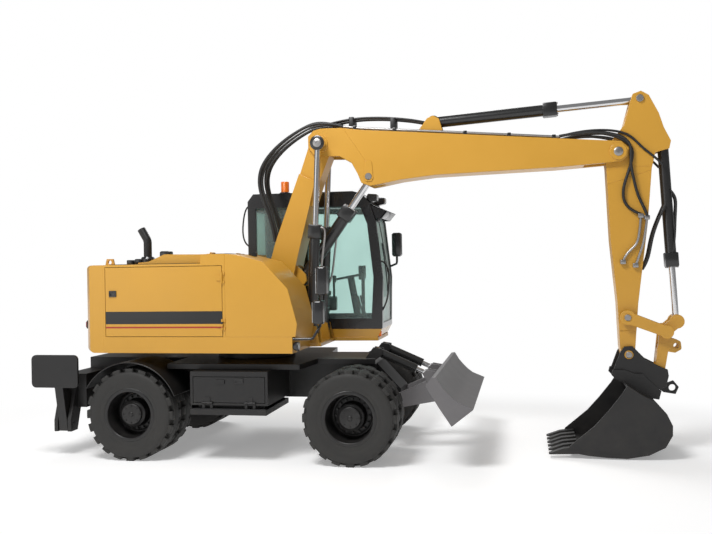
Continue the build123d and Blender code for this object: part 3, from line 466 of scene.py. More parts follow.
def painted(name, colour, roughness, mottle=0.06, peel=0.04, coat=0.0, reach=1.0, dust=0.0, metallic=0.0):
    """A painted or plastic surface, with dust near the ground."""
    material, tree, surface, _ = blank(name)
    film = add_node(tree, "Group")
    film.node_tree = shared("Paint film")
    preset(film, {"Colour": (*colour, 1), "Mottle": mottle, "Roughness": roughness, "Peel": peel})
    soil = add_node(tree, "Group")
    soil.node_tree = shared("Road dust")
    preset(soil, {"Reach": reach, "Amount": dust})
    link(film, "Colour", soil, "Colour")
    link(soil, "Colour", surface, "Base Color")
    matt = add_node(tree, "Math", operation="ADD")
    matt.use_clamp = True
    link(film, "Roughness", matt, 0)
    link(soil, "Mask", matt, 1)
    link(matt, "Value", surface, "Roughness")
    link(film, "Normal", surface, "Normal")
    preset(surface, {"Coat Weight": coat, "Coat Roughness": 0.12, "Metallic": metallic})
    return material


def chrome():
    """Hard chrome with faint rings of oil along its length."""
    material, tree, surface, _ = blank("Chrome rod")
    preset(surface, {"Base Color": (0.72, 0.72, 0.73, 1), "Metallic": 1.0})
    place = add_node(tree, "TexCoord")
    film = add_node(tree, "TexNoise", {"Scale": 14.0, "Detail": 3.0})
    link(place, "Object", film, "Vector")
    gloss = add_node(tree, "MapRange", {"To Min": 0.08, "To Max": 0.2})
    link(film, "Fac", gloss, "Value")
    link(gloss, "Result", surface, "Roughness")
    return material


def rubber():
    """Tyre rubber with a fine grain and dust worked into it."""
    return painted("Tyre rubber", (0.022, 0.0213, 0.02), 0.66, 0.12, 0.25, reach=1.3, dust=0.08)


def glazing(name, tint, strength):
    """Window glass: clear to the light, tinted, with a reflecting face."""
    material, tree, surface, output = blank(name)
    preset(surface, {"Base Color": (*tint, 1), "Roughness": 0.03, "IOR": 1.45})
    clear = add_node(tree, "BsdfTransparent", {"Color": (*tint, 1)})
    edge = add_node(tree, "Fresnel", {"IOR": 1.5})
    path = add_node(tree, "LightPath")
    film = add_node(tree, "Math", {1: strength}, operation="ADD")
    film.use_clamp = True
    link(edge, "Fac", film, 0)
    lit = add_node(tree, "Math", {0: 1.0}, operation="SUBTRACT")
    link(path, "Is Shadow Ray", lit, 1)
    share = add_node(tree, "Math", operation="MULTIPLY")
    link(film, "Value", share, 0)
    link(lit, "Value", share, 1)
    mix = add_node(tree, "MixShader")
    link(share, "Value", mix, "Fac")
    link(clear, "BSDF", mix, 1)
    link(surface, "BSDF", mix, 2)
    link(mix, "Shader", output, "Surface")
    return material


def lens(name, colour, glow=0.0):
    """A moulded lamp lens with fine ribs."""
    material, tree, surface, _ = blank(name)
    preset(surface, {"Base Color": (*colour, 1), "Roughness": 0.12, "Transmission Weight": 0.35})
    preset(surface, {"Coat Weight": 0.5, "Emission Color": (*colour, 1), "Emission Strength": glow})
    place = add_node(tree, "TexCoord")
    ribs = add_node(tree, "TexWave", {"Scale": 40.0})
    ribs.bands_direction = "Z"
    link(place, "Object", ribs, "Vector")
    bump = add_node(tree, "Bump", {"Strength": 0.4, "Distance": 0.004})
    link(ribs, "Fac", bump, "Height")
    link(bump, "Normal", surface, "Normal")
    return material


def fabric():
    """A dark woven seat cover."""
    material, tree, surface, _ = blank("Cushion fabric")
    place = add_node(tree, "TexCoord")
    weave = add_node(tree, "TexVoronoi", {"Scale": 220.0})
    link(place, "Object", weave, "Vector")
    shade = add_node(tree, "ValToRGB")
    shade.color_ramp.elements[0].color = (0.05, 0.05, 0.055, 1)
    shade.color_ramp.elements[1].color = (0.012, 0.012, 0.014, 1)
    link(weave, "Distance", shade, "Fac")
    link(shade, "Color", surface, "Base Color")
    bump = add_node(tree, "Bump", {"Strength": 0.5, "Distance": 0.002})
    link(weave, "Distance", bump, "Height")
    link(bump, "Normal", surface, "Normal")
    preset(surface, {"Roughness": 0.85, "Sheen Weight": 0.3})
    return material


def banded(name, colour, bands, **look):
    """Paint with level stripes: each a colour with its lowest and highest place above the ground."""
    material = painted(name, colour, **look)
    tree = material.node_tree
    film = next(n for n in tree.nodes if n.type == "GROUP" and n.node_tree.name == "Paint film")
    place = add_node(tree, "TexCoord")
    axes = add_node(tree, "SeparateXYZ")
    link(place, "Object", axes, "Vector")
    ramp = add_node(tree, "ValToRGB")
    ramp.color_ramp.interpolation = "CONSTANT"
    low, high = 1.2, 2.4
    height = add_node(tree, "MapRange", {"From Min": low, "From Max": high})
    link(axes, "Z", height, "Value")
    link(height, "Result", ramp, "Fac")
    stops = ramp.color_ramp.elements
    stops[0].color = (*colour, 1)
    stops[1].position = (bands[0][1] - low) / (high - low)
    stops[1].color = (*bands[0][0], 1)
    stops.new((bands[0][2] - low) / (high - low)).color = (*colour, 1)
    for tone, a, b in bands[1:]:
        stops.new((a - low) / (high - low)).color = (*tone, 1)
        stops.new((b - low) / (high - low)).color = (*colour, 1)
    link(ramp, "Color", film, "Colour")
    return material


def tread_plate():
    """Black anti-slip covering with a raised pattern."""
    material = painted("Anti-slip", (0.02, 0.02, 0.021), 0.75, 0.15, 0.1)
    tree = material.node_tree
    surface = tree.nodes["Principled BSDF"]
    place = add_node(tree, "TexCoord")
    studs = add_node(tree, "TexVoronoi", {"Scale": 45.0, "Randomness": 0.0})
    link(place, "Object", studs, "Vector")
    bump = add_node(tree, "Bump", {"Strength": 0.7, "Distance": 0.004})
    bump.invert = True
    link(studs, "Distance", bump, "Height")
    link(bump, "Normal", surface, "Normal")
    return material


MATERIALS = {}


def make_materials(paint):
    """Every material of the machine, by name.

    The numbers of a paint are its roughness, mottle, peel, coat, and the reach and amount of its dust.
    """
    yellow = tuple(paint.yellow)
    charcoal = tuple(paint.charcoal)
    MATERIALS.update(
        {
            "yellow_paint": painted("Yellow paint", yellow, 0.36, 0.05, 0.03, 0.12, 1.9, 0.06),
            "undercarriage_paint": painted("Charcoal paint", charcoal, 0.4, 0.12, 0.06, 0.05, 1.2, 0.1),
            # The blade's grey, far lighter than the chassis charcoal, is a painted reflection of the white
            # surroundings, under real mottle and dust
            "blade_paint_with_painted_reflection": painted("Blade paint with painted reflection", (0.14, 0.134, 0.138), 0.3, 0.15, 0.06, 0.2, 1.2, 0.1),
            "machine_steel": painted("Tool steel", (0.0115, 0.011, 0.0113), 0.42, 0.2, 0.1, 0.0, 1.2, 0.12),
            "ram_barrel": painted("Ram barrel", (0.014, 0.014, 0.014), 0.28, 0.1, 0.03, 0.3),
            "chrome_rod": chrome(),
            "tyre_rubber": rubber(),
            "cab_black": painted("Cab black", (0.012, 0.012, 0.013), 0.26, 0.08, 0.03, 0.4),
            "cab_glass": glazing("Cab glass", (0.84, 0.93, 0.91), 0.04),
            "seat_fabric": fabric(),
            "beacon_amber": lens("Amber lens", (0.85, 0.2, 0.01), 0.15),
            "lamp_lens": lens("Clear lens", (0.75, 0.76, 0.76), 0.05),
            "hose_rubber": painted("Hose rubber", (0.016, 0.016, 0.016), 0.5, 0.1, 0.1),
            "banded_paint": banded(
                "Banded paint",
                yellow,
                (((0.35, 0.02, 0.012), 1.475, 1.495), ((0.012, 0.012, 0.012), 1.52, 1.66)),
                roughness=0.36,
                mottle=0.05,
                peel=0.03,
                coat=0.12,
            ),
            "cab_paint": banded(
                "Cab paint",
                (0.012, 0.012, 0.013),
                ((yellow, 1.21, 1.345),),
                roughness=0.26,
                mottle=0.08,
                peel=0.03,
                coat=0.4,
            ),
            "tail_lens": lens("Red lens", (0.5, 0.012, 0.008), 0.05),
            "anti_slip": tread_plate(),
            "mirror_glass": painted("Mirror glass", (0.6, 0.62, 0.63), 0.04, 0.02, 0.0, metallic=1.0),
            "bare_steel": painted("Bare steel", (0.36, 0.35, 0.345), 0.36, 0.15, 0.08, metallic=0.9),
        }
    )


# Settings


class PaintSettings(bpy.types.PropertyGroup):
    """Colours of the machine."""

    yellow: FloatVectorProperty(
        name="Body colour",
        description="Paint of the body and the arm",
        subtype="COLOR",
        default=(0.585, 0.302, 0.034),
    )
    charcoal: FloatVectorProperty(
        name="Chassis colour",
        description="Paint of the chassis",
        subtype="COLOR",
        default=(0.0075, 0.0071, 0.0073),
    )


class TyreSettings(bpy.types.PropertyGroup):
    """Tread of the tyres."""

    lugs: IntProperty(name="Lugs", description="Lugs round each shoulder", default=20, min=8)
    depth: FloatProperty(name="Lug depth", description="Height of a lug", default=0.038, unit="LENGTH")
    shoulder: FloatProperty(
        name="Lug width", description="Width of a lug across the tread", default=0.078, unit="LENGTH"
    )


class StageSettings(bpy.types.PropertyGroup):
    """Place, turn and lens of the camera."""

    camera: FloatVectorProperty(
        name="Camera",
        description="Place of the camera",
        subtype="XYZ",
        default=(1.86218, -10.05079, 2.13219),
    )
    yaw: FloatProperty(
        name="Yaw", description="Turn of the camera to the left", subtype="ANGLE", default=0.19332
    )
    pitch: FloatProperty(name="Pitch", description="Lift of the camera", subtype="ANGLE", default=-0.00098)
    roll: FloatProperty(name="Roll", description="Roll of the camera", subtype="ANGLE", default=-0.01648)
    lens: FloatProperty(name="Lens", description="Focal length in millimetres", default=42.97)


# Pieces


class EXC_OT_finish(bpy.types.Operator):
    """Paints the frame's pieces and rounds their edges"""

    bl_idname = "excavator.finish"
    bl_label = "Finish the frame"

    rounding = {
        "counterweight": 0.012,
        "engine_hood": 0.012,
        "tank_housing": 0.02,
        "body_shell": 0.008,
        "service_door_right": 0.008,
        "service_door_left": 0.008,
        "cab_shell": 0.012,
        "cab_door": 0.01,
        "cab_glass": 0.002,
        "door_glass": 0.002,
        "boom_base": 0.008,
        "boom_front": 0.008,
        "stick": 0.008,
        "dozer_blade": 0.005,
        "work_lamps": 0.012,
    }

    paint = {
        "service_door_right": "banded_paint",
        "service_door_left": "banded_paint",
        "work_lamps": "cab_black",
        "cab_shell": "cab_paint",
        # The blade takes a grey lighter than the chassis: a painted reflection of the white surroundings
        "dozer_blade": "blade_paint_with_painted_reflection",
    }

    def execute(self, context):
        make_materials(context.scene.exc_paint)
        for name, obj in NODES.items():
            alone(obj)
            bpy.ops.mesh.customdata_custom_splitnormals_clear()
            bpy.ops.object.shade_smooth()
            weld = obj.modifiers.new("Weld", "WELD")
            weld.merge_threshold = 0.00002
            flat = obj.modifiers.new("Flat faces", "DECIMATE")
            flat.decimate_type = "DISSOLVE"
            flat.angle_limit = radians(0.6)
            soft = obj.modifiers.new("Edges", "BEVEL")
            soft.width = self.rounding.get(name, 0.004)
            soft.segments = 2
            soft.limit_method = "ANGLE"
            soft.angle_limit = radians(35)
            soft.harden_normals = True
            even = obj.modifiers.new("Even shading", "WEIGHTED_NORMAL")
            even.keep_sharp = True
            obj.data.materials.clear()
            obj.data.materials.append(MATERIALS[self.paint.get(name, SLOT_OF[name])])
        return {"FINISHED"}


class EXC_OT_tyres(bpy.types.Operator):
    """Turns the twin tyres with their shoulder lugs"""

    bl_idname = "excavator.tyres"
    bl_label = "Tyres"

    width = 0.275
    # Radius at the rim, cells round the tread for each lug, and those that a lug covers
    bead = 0.272
    cells_per_lug = 5
    lug_cells = (4, 0, 1)

    def execute(self, context):
        made = context.scene.exc_tyres
        for end in ("front", "rear"):
            node = f"tyres_{end}_left"
            low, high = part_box(node)
            centre = Vector(((low.x + high.x) / 2, 0, (low.z + high.z) / 2))
            radius = (high.z - low.z) / 2
            outer = self.tyre(f"tyre_{end}_outer", radius, high.y, made, centre)
            inner = self.tyre(f"tyre_{end}_inner", radius, low.y + self.width, made, centre)
            pair = joined(f"twin_tyres_{end}_left", [outer, inner])
            other = mirrored_copy(pair, f"twin_tyres_{end}_right")
            for side, obj in (("left", pair), ("right", other)):
                smooth(obj, 40)
                finish_piece(obj, f"wheel_{end}_{side}", "tyre_rubber")
                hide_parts(f"tyres_{end}_{side}")
        return {"FINISHED"}

    def tyre(self, name, radius, outside, made, centre):
        """One tyre: a body turned at the depth of the grooves, and lugs raised from its shoulders."""
        half = self.width / 2
        floor = radius - made.depth
        rib = half - made.shoulder
        side = (
            (self.bead, half - 0.018),
            (0.302, half - 0.012),
            (0.330, half - 0.006),
            (0.342, half - 0.0085),
            (0.352, half - 0.0035),
            (0.395, half),
            (0.430, half - 0.002),
            (floor - 0.012, half - 0.007),
            (floor, half - 0.02),
            (floor, rib),
            (radius - 0.004, rib - 0.002),
            (radius, rib - 0.016),
        )
        profile = [(r, -a) for r, a in side] + [(r, a) for r, a in reversed(side)]
        profile += [(self.bead, -half + 0.018)]
        cells = made.lugs * self.cells_per_lug
        step = 2 * pi / cells
        start = Vector((cos(step / 2), 0, sin(step / 2)))
        obj = lathe(name, profile, (0, 0, 0), cells, (0, 1, 0), start)

        def on_lug(centre_point, normal):
            r = (centre_point.x**2 + centre_point.z**2) ** 0.5
            y = abs(centre_point.y)
            turn = atan2(centre_point.z, centre_point.x) + step / 2
            cell = int((turn % (2 * pi)) / step) % self.cells_per_lug
            on_top = rib + 0.004 < y < half - 0.012 and r > floor - 0.006
            return on_top and cell in self.lug_cells

        pick_faces(obj, on_lug)
        bpy.ops.mesh.extrude_region_shrink_fatten(TRANSFORM_OT_shrink_fatten={"value": made.depth})
        close()
        obj.location = centre + Vector((0, outside - half, 0))
        settle(obj)
        return bevelled(obj, 0.004, 2, 40)


class EXC_OT_rims(bpy.types.Operator):
    """Turns the rims with their hubs and sets the wheel nuts"""

    bl_idname = "excavator.rims"
    bl_label = "Rims"

    profile = (
        (0.094, 0.8695), (0.150, 0.8695), (0.150, 0.9295), (0.256, 0.9295),
        (0.256, 0.6705), (0.298, 0.6705), (0.298, 0.6805), (0.268, 0.6805),
        (0.268, 0.9195), (0.298, 0.9195), (0.298, 0.9295), (0.268, 0.9295),
        (0.268, 0.9955), (0.298, 0.9955), (0.298, 1.0055), (0.268, 1.0055),
        (0.268, 1.2445), (0.298, 1.2445), (0.298, 1.2505), (0.290, 1.2545),
        (0.264, 1.2545), (0.256, 1.2480), (0.254, 1.2000), (0.246, 1.1850),
        (0.246, 1.0500), (0.240, 1.0250), (0.225, 1.0110), (0.212, 1.0110),
        (0.205, 1.0275), (0.162, 1.0275), (0.150, 1.0380), (0.150, 1.1450),
        (0.146, 1.1530), (0.126, 1.1620), (0.118, 1.1700), (0.118, 1.1920),
        (0.110, 1.2000), (0.0, 1.2000), (0.0, 1.1700), (0.094, 1.1700),
        (0.094, 0.8695),
    )
    nut_ring, nut_seat = 0.182, 1.0275
    cap_ring, hub_face = 0.094, 1.2

    def execute(self, context):
        for end in ("front", "rear"):
            low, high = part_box(f"rims_{end}_left")
            centre = Vector(((low.x + high.x) / 2, 0, (low.z + high.z) / 2))
            rim = lathe(f"rim_{end}_body", self.profile, centre, 80)
            rim = bevelled(rim, 0.003, 2, 30)
            nut_places = self.ring(centre, self.nut_ring, self.nut_seat, 16)
            nuts = bolts(f"rim_{end}_nuts", nut_places, (0, 1, 0), 0.0135, 0.03)
            cap_places = self.ring(centre, self.cap_ring, self.hub_face, 8)
            caps = bolts(f"rim_{end}_bolts", cap_places, (0, 1, 0), 0.008, 0.008)
            hub_end = centre + Vector((0, self.hub_face, 0))
            plug = lathe(f"rim_{end}_plug", ((0, 0.012), (0.022, 0.012), (0.028, 0.0)), hub_end, 24)
            left = joined(f"rim_{end}_left", [rim, nuts, caps, plug])
            right = mirrored_copy(left, f"rim_{end}_right")
            for side, obj in (("left", left), ("right", right)):
                smooth(obj, 35)
                body = f"wheel_{end}_{side}"
                finish_piece(obj, body, "undercarriage_paint")
                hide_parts(f"rims_{end}_{side}")
        return {"FINISHED"}

    def ring(self, centre, radius, y, count):
        turns = [2 * pi * i / count for i in range(count)]
        return [centre + Vector((radius * cos(a), y, radius * sin(a))) for a in turns]


class EXC_OT_seat(bpy.types.Operator):
    """Shapes the operator's seat with its cushions, arm rests and levers"""

    bl_idname = "excavator.seat"
    bl_label = "Operator's seat"

    # Lean of the back, place of the arm rests across, and the run of a lever
    lean = 0.12
    arm_y = 0.285
    lever = ((0.54, 0.43), (0.55, 0.52), (0.53, 0.62), (0.55, 0.71))

    def execute(self, context):
        low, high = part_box("operator_seat")
        mid = (low.y + high.y) / 2
        base = low.z
        x0 = low.x + 0.08

        def place(x, y, z):
            return Vector((x0 + x, mid + y, base + z))

        seat = self.cushion("seat_cushion", place(0, -0.25, 0.2), place(0.5, 0.25, 0.335), 0.05)
        back = self.cushion("seat_back", place(0, -0.235, 0.32), place(0.13, 0.235, 0.8), 0.045)
        rest = self.cushion("seat_head_rest", place(-0.05, -0.14, 0.82), place(0.05, 0.14, 1.0), 0.035)
        for obj in (back, rest):
            edit(obj)
            take_all()
            pivot = place(0.06, 0, 0.33)
            bpy.ops.transform.rotate(value=self.lean, orient_axis="Y", center_override=pivot)
            close()
        pieces = [seat, back, rest]
        for side in (-1, 1):
            y = side * self.arm_y
            low_end, high_end = place(0.04, y - 0.042, 0.44), place(0.5, y + 0.042, 0.52)
            pieces.append(self.cushion(f"arm_rest_{side + 2}", low_end, high_end, 0.03))
        for obj in pieces:
            finish_piece(obj, "upper", "seat_fabric")
        hard = [cuboid("seat_base", place(0.05, -0.18, 0), place(0.45, 0.18, 0.2), 0.02)]
        for side in (-1, 1):
            y = side * self.arm_y
            hard.append(cuboid("console", place(0.04, y - 0.045, 0.25), place(0.58, y + 0.045, 0.44), 0.02))
            hard.append(tube("lever", [place(x, y, z) for x, z in self.lever], 0.016))
            hard.append(cuboid("grip", place(0.525, y - 0.026, 0.62), place(0.575, y + 0.026, 0.72), 0.018))
        frame_piece = finish_piece(joined("seat_frame", hard), "upper", "cab_black")
        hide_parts("operator_seat")
        return {"FINISHED"}

    def cushion(self, name, low, high, rounding):
        """A crowned cushion: rounded block, swollen at the middle of its faces."""
        low, high = Vector(low), Vector(high)
        obj = cuboid(name, low, high, rounding, 3)
        edit(obj, "FACE")
        take_all()
        bpy.ops.mesh.subdivide(number_cuts=3, smoothness=0.35)
        bpy.ops.mesh.vertices_smooth(factor=0.5, repeat=4)
        close()
        soft = obj.modifiers.new("Soft", "SUBSURF")
        soft.levels = 1
        soft.render_levels = 1
        apply_modifiers(obj)
        return smooth(obj, 60)


class EXC_OT_hoses(bpy.types.Operator):
    """Lays the hoses, pipes and tubes along the boom and the stick"""

    bl_idname = "excavator.hoses"
    bl_label = "Hoses"

    # Radii of the thin hoses and the steel tubes, and the places of the clamps along the boom
    thin = 0.0135
    steel_radius = 0.014
    clamps = (1.3, 1.78, 2.6, 3.1, 3.6)
    # Runs of (x, z) from the swing axis and the ground
    over_boom = (
        (1.16, 3.798), (1.02, 3.835), (0.82, 3.86), (0.62, 3.775),
        (0.42, 3.655), (0.25, 3.51), (0.12, 3.33), (0.1, 3.12),
        (0.17, 2.9), (0.27, 2.66), (0.30, 2.44),
    )
    down_stick = (
        (3.66, 3.565), (3.889, 3.606), (4.122, 3.585), (4.30, 3.535),
        (4.425, 3.45), (4.47, 3.34), (4.403, 3.124), (4.343, 2.966),
        (4.34, 2.787), (4.435, 2.70), (4.531, 2.66),
    )
    second = (
        (3.66, 3.565), (3.90, 3.60), (4.16, 3.59), (4.36, 3.535),
        (4.45, 3.42), (4.42, 3.25), (4.46, 3.05), (4.50, 2.85),
        (4.57, 2.72), (4.597, 2.64),
    )
    boom_tube = ((1.122, 3.80), (1.384, 3.764), (2.229, 3.69), (3.674, 3.559))
    stick_tubes = (
        ((4.531, 2.643), (4.508, 2.364), (4.469, 2.305), (4.352, 2.208), (4.332, 2.13)),
        ((4.597, 2.621), (4.569, 2.403), (4.545, 2.304), (4.495, 2.165), (4.466, 2.09)),
    )
    boom_pipe = ((0.98, 3.845), (1.2, 3.895), (1.5, 3.9), (1.8, 3.875), (2.05, 3.835), (2.16, 3.80))
    to_curl_ram = (
        (3.66, 3.565), (3.86, 3.612), (4.10, 3.625), (4.305, 3.60),
        (4.45, 3.54), (4.56, 3.39), (4.70, 3.29), (4.775, 3.20),
    )
    along_curl_ram = (
        (4.86, 2.93), (4.925, 2.86), (4.925, 2.755), (4.911, 2.556),
        (4.905, 2.36), (4.878, 2.22),
    )
    off_curl_ram = ((4.80, 2.76), (4.727, 2.60), (4.66, 2.42), (4.635, 2.26), (4.60, 2.12), (4.545, 2.04))

    def execute(self, context):
        bundle = []
        for i, y in enumerate((-0.158, -0.122, -0.02, 0.02, 0.122, 0.158)):
            lift = 0.02 * (i % 2)
            run = [spot(x + lift * (x < 0.9), y, z + lift * (x < 0.9)) for x, z in self.over_boom]
            bundle.append(tube(f"boom_hose_{i}", run, 0.0175 if abs(y) > 0.1 else 0.012))
        self.bend(joined("boom_hoses", bundle), "boom_front", "boom_base", (1.0, 3.8), (0.35, 3.4))
        pipes = []
        for i, y in enumerate((-0.09, -0.05, 0.05, 0.09)):
            pipes.append(tube(f"boom_pipe_{i}", self.run(self.boom_pipe, y), 0.012))
        for x, z in ((1.25, 3.86), (1.75, 3.83)):
            low, high = spot(x - 0.03, -0.11, z - 0.13), spot(x + 0.03, 0.11, z + 0.055)
            pipes.append(cuboid("pipe_stand", low, high, 0.008))
        finish_piece(joined("boom_pipes", pipes), "boom_front", "machine_steel")
        self.steel_tubes()
        for side, sign in SIDES:
            runs = [self.run(self.down_stick, sign * 0.152), self.run(self.second, sign * 0.168)]
            lines = [tube(f"stick_hose_{side}_{i}", r, 0.0165) for i, r in enumerate(runs)]
            lines.append(tube(f"stick_hose_{side}_2", self.run(self.to_curl_ram, sign * 0.14), self.thin))
            hoses = joined(f"stick_hoses_{side}", lines)
            self.bend(hoses, "boom_front", "stick", (4.2, 3.55), (4.5, 3.2))
            line = tube(f"curl_ram_hose_{side}", self.run(self.off_curl_ram, sign * 0.088), self.thin)
            self.bend(line, "curl_ram_barrel", "stick", (4.78, 2.7), (4.62, 2.2))
            line = tube(f"curl_ram_pipe_{side}", self.run(self.along_curl_ram, sign * 0.05), 0.011)
            finish_piece(line, "curl_ram_barrel", "hose_rubber")
        return {"FINISHED"}

    def steel_tubes(self):
        """The fixed tubes along the boom and down the stick, with their clamps and flanges."""
        for side, sign in SIDES:
            lines = []
            for y in (0.122, 0.154):
                lines.append(tube("line", self.run(self.boom_tube, sign * y), self.steel_radius, 3, 2))
            finish_piece(joined(f"boom_tubes_{side}", lines), "boom_front", "bare_steel")
            y0, y1 = sorted((sign * 0.105, sign * 0.172))
            clamps = []
            for x in self.clamps:
                z = self.height(self.boom_tube, x)
                low, high = spot(x - 0.022, y0, z - 0.03), spot(x + 0.022, y1, z + 0.022)
                clamps.append(cuboid("clamp", low, high, 0.006))
            clamps = joined(f"tube_clamps_{side}", clamps)
            finish_piece(clamps, "boom_front", "ram_barrel")
            y0, y1 = sorted((sign * 0.12, sign * 0.17))
            lines = []
            for points in self.stick_tubes:
                lines.append(tube("line", self.run(points, sign * 0.148), self.steel_radius))
                for x, z in (points[0], points[-1]):
                    low, high = spot(x - 0.03, y0, z - 0.025), spot(x + 0.03, y1, z + 0.025)
                    lines.append(cuboid("flange", low, high, 0.008))
            finish_piece(joined(f"stick_tubes_{side}", lines), "stick", "bare_steel")

    def height(self, points, x):
        """The height of a run at a place along the machine."""
        for (x0, z0), (x1, z1) in zip(points, points[1:]):
            if x0 <= x <= x1:
                return z0 + (z1 - z0) * (x - x0) / (x1 - x0)
        raise ValueError(f"{x} is off the run")

    def run(self, points, y):
        return [spot(x, y, z) for x, z in points]

    def bend(self, obj, a, b, start, end):
        """Gives a hose its rubber and puts its place into its mesh; the two bodies and the two places of (x,
        z) are not used.
        """
        obj.data.materials.clear()
        obj.data.materials.append(MATERIALS["hose_rubber"])
        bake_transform(obj)


class EXC_OT_rams(bpy.types.Operator):
    """Adds the gland blocks, their bolts and the steel pipes of the rams"""

    bl_idname = "excavator.rams"
    bl_label = "Ram heads"

    # Body, base pin, rod pin, length to the gland, barrel radius, rod radius and place across
    heads = (
        ("lift_ram_barrel", (0.775, 1.385), (0.882, 3.59), 1.24, 0.062, 0.036, -0.29),
        ("lift_ram_barrel", (0.775, 1.385), (0.882, 3.59), 1.24, 0.062, 0.036, 0.29),
        ("adjust_ram_barrel", (0.6, 1.985), (1.462, 3.188), 1.04, 0.072, 0.042, 0.0),
        ("crowd_ram_barrel", (2.226, 3.814), (4.543, 3.956), 1.42, 0.066, 0.04, 0.0),
        ("curl_ram_barrel", (4.795, 3.452), (4.908, 1.458), 1.385, 0.06, 0.036, 0.0),
    )

    # Gland block: its margin about the barrel, its length, and the screws' distance from its sides
    margin = 0.0125
    length = 0.16
    screw_inset = 0.018
    # Run of a lift ram's pipe: down from the gland and ahead of the ram
    lift_pipe = (
        (0.03, 0.06), (0.03, 0.10), (0.05, 0.125), (0.12, 0.13),
        (0.35, 0.105), (0.62, 0.09), (0.70, 0.05),
    )

    def execute(self, context):
        for i, (body, base, rod, gland, barrel_r, rod_r, y) in enumerate(self.heads):
            start = spot(base[0], y, base[1])
            end = spot(rod[0], y, rod[1])
            half = barrel_r + self.margin
            low, high = gland - self.length, gland + 0.002
            block = block_along(f"gland_{i}", start, end, low, high, half, rod_r + 0.004, 0.014)
            finish_piece(block, body, "ram_barrel")
            axis = (end - start).normalized()
            across = Vector((0, 1, 0))
            third = axis.cross(across)
            inset = half - self.screw_inset
            corners = [
                start + axis * (gland + 0.001) + across * (inset * a) + third * (inset * b)
                for a in (-1, 1)
                for b in (-1, 1)
            ]
            screws = bolts(f"gland_bolts_{i}", corners, axis, 0.0095, 0.012)
            finish_piece(screws, body, "bare_steel")
            if body != "lift_ram_barrel":
                continue
            out = -1 if y < 0 else 1
            top = start + axis * gland
            run = [top - axis * down + Vector((ahead, out * 0.03, 0)) for down, ahead in self.lift_pipe]
            pipe = tube(f"lift_pipe_{i}", run, 0.0125)
            finish_piece(pipe, body, "bare_steel")
        return {"FINISHED"}


class EXC_OT_pins(bpy.types.Operator):
    """Sets the pin ends, their locks and the weld seams of the arm"""

    bl_idname = "excavator.pins"
    bl_label = "Pins and seams"

    # Pin ends: place in (x, z), place across, radius, body and material
    pins = {
        "knuckle_pin": ((0.882, 3.59), 0.338, 0.052, "boom_base", "bare_steel"),
        "knuckle_ring": ((0.882, 3.59), 0.333, 0.086, "boom_base", "ram_barrel"),
        "foot_pin": ((0.2, 1.56), 0.232, 0.05, "upper", "bare_steel"),
        "adjust_pin": ((1.462, 3.188), 0.18, 0.046, "boom_front", "ram_barrel"),
        "stick_pin": ((4.298, 3.364), 0.2, 0.05, "boom_front", "bare_steel"),
        "crowd_pin": ((4.543, 3.956), 0.136, 0.04, "stick", "bare_steel"),
        "idler_pin": ((4.368, 1.51), 0.205, 0.036, "stick", "bare_steel"),
        "bucket_pin": ((4.379, 1.092), 0.162, 0.036, "stick", "bare_steel"),
        "adjust_boss": ((1.462, 3.188), 0.19, 0.04, "boom_front", "bare_steel"),
    }
    lock_outline = (
        (1.405, 3.17), (1.425, 3.13), (1.50, 3.13), (1.52, 3.17),
        (1.505, 3.36), (1.48, 3.38), (1.445, 3.38), (1.42, 3.36),
    )
    boom_seam = ((1.17, 3.76), (1.33, 3.52), (1.48, 3.29), (1.505, 3.24), (1.46, 3.085))
    stick_seams = (
        ((4.175, 3.195), (4.4, 3.196), (4.66, 3.196)),
        ((4.182, 3.01), (4.33, 3.05), (4.65, 3.15)),
    )
    # Places across of the boom's and the stick's sides
    boom_side = 0.1795
    stick_side = 0.1215

    def execute(self, context):
        for side, sign in SIDES:
            for name, (place, y, radius, body, material) in self.pins.items():
                self.cap(f"{name}_{side}", place, sign * y, sign, radius, body, material)
            lock = plate(f"adjust_lock_{side}", self.lock_outline, sign * self.boom_side, sign * 0.19)
            finish_piece(lock, "boom_front", "yellow_paint")
            seam = self.seam(f"boom_seam_{side}", self.boom_seam, sign * self.boom_side, 0.004)
            finish_piece(seam, "boom_front", "yellow_paint")
            lines = []
            for i, points in enumerate(self.stick_seams):
                lines.append(self.seam(f"seam_{side}_{i}", points, sign * self.stick_side, 0.0035))
            finish_piece(joined(f"stick_seams_{side}", lines), "stick", "yellow_paint")
        return {"FINISHED"}

    def seam(self, name, points, y, radius):
        """A thin bead of weld along a run of (x, z)."""
        return tube(name, [spot(x, y, z) for x, z in points], radius, 2, 3)

    def cap(self, name, place, y, sign, radius, body, material):
        """A turned pin end with a chamfer and a small centre."""
        profile = (
            (0.0, 0.008),
            (radius * 0.2, 0.008),
            (radius * 0.24, 0.011),
            (radius * 0.86, 0.011),
            (radius, 0.006),
            (radius, -0.01),
            (0.0, -0.01),
        )
        obj = lathe(name, [(r, a * sign) for r, a in profile], spot(place[0], y, place[1]), 40)
        smooth(obj, 40)
        finish_piece(obj, body, material)


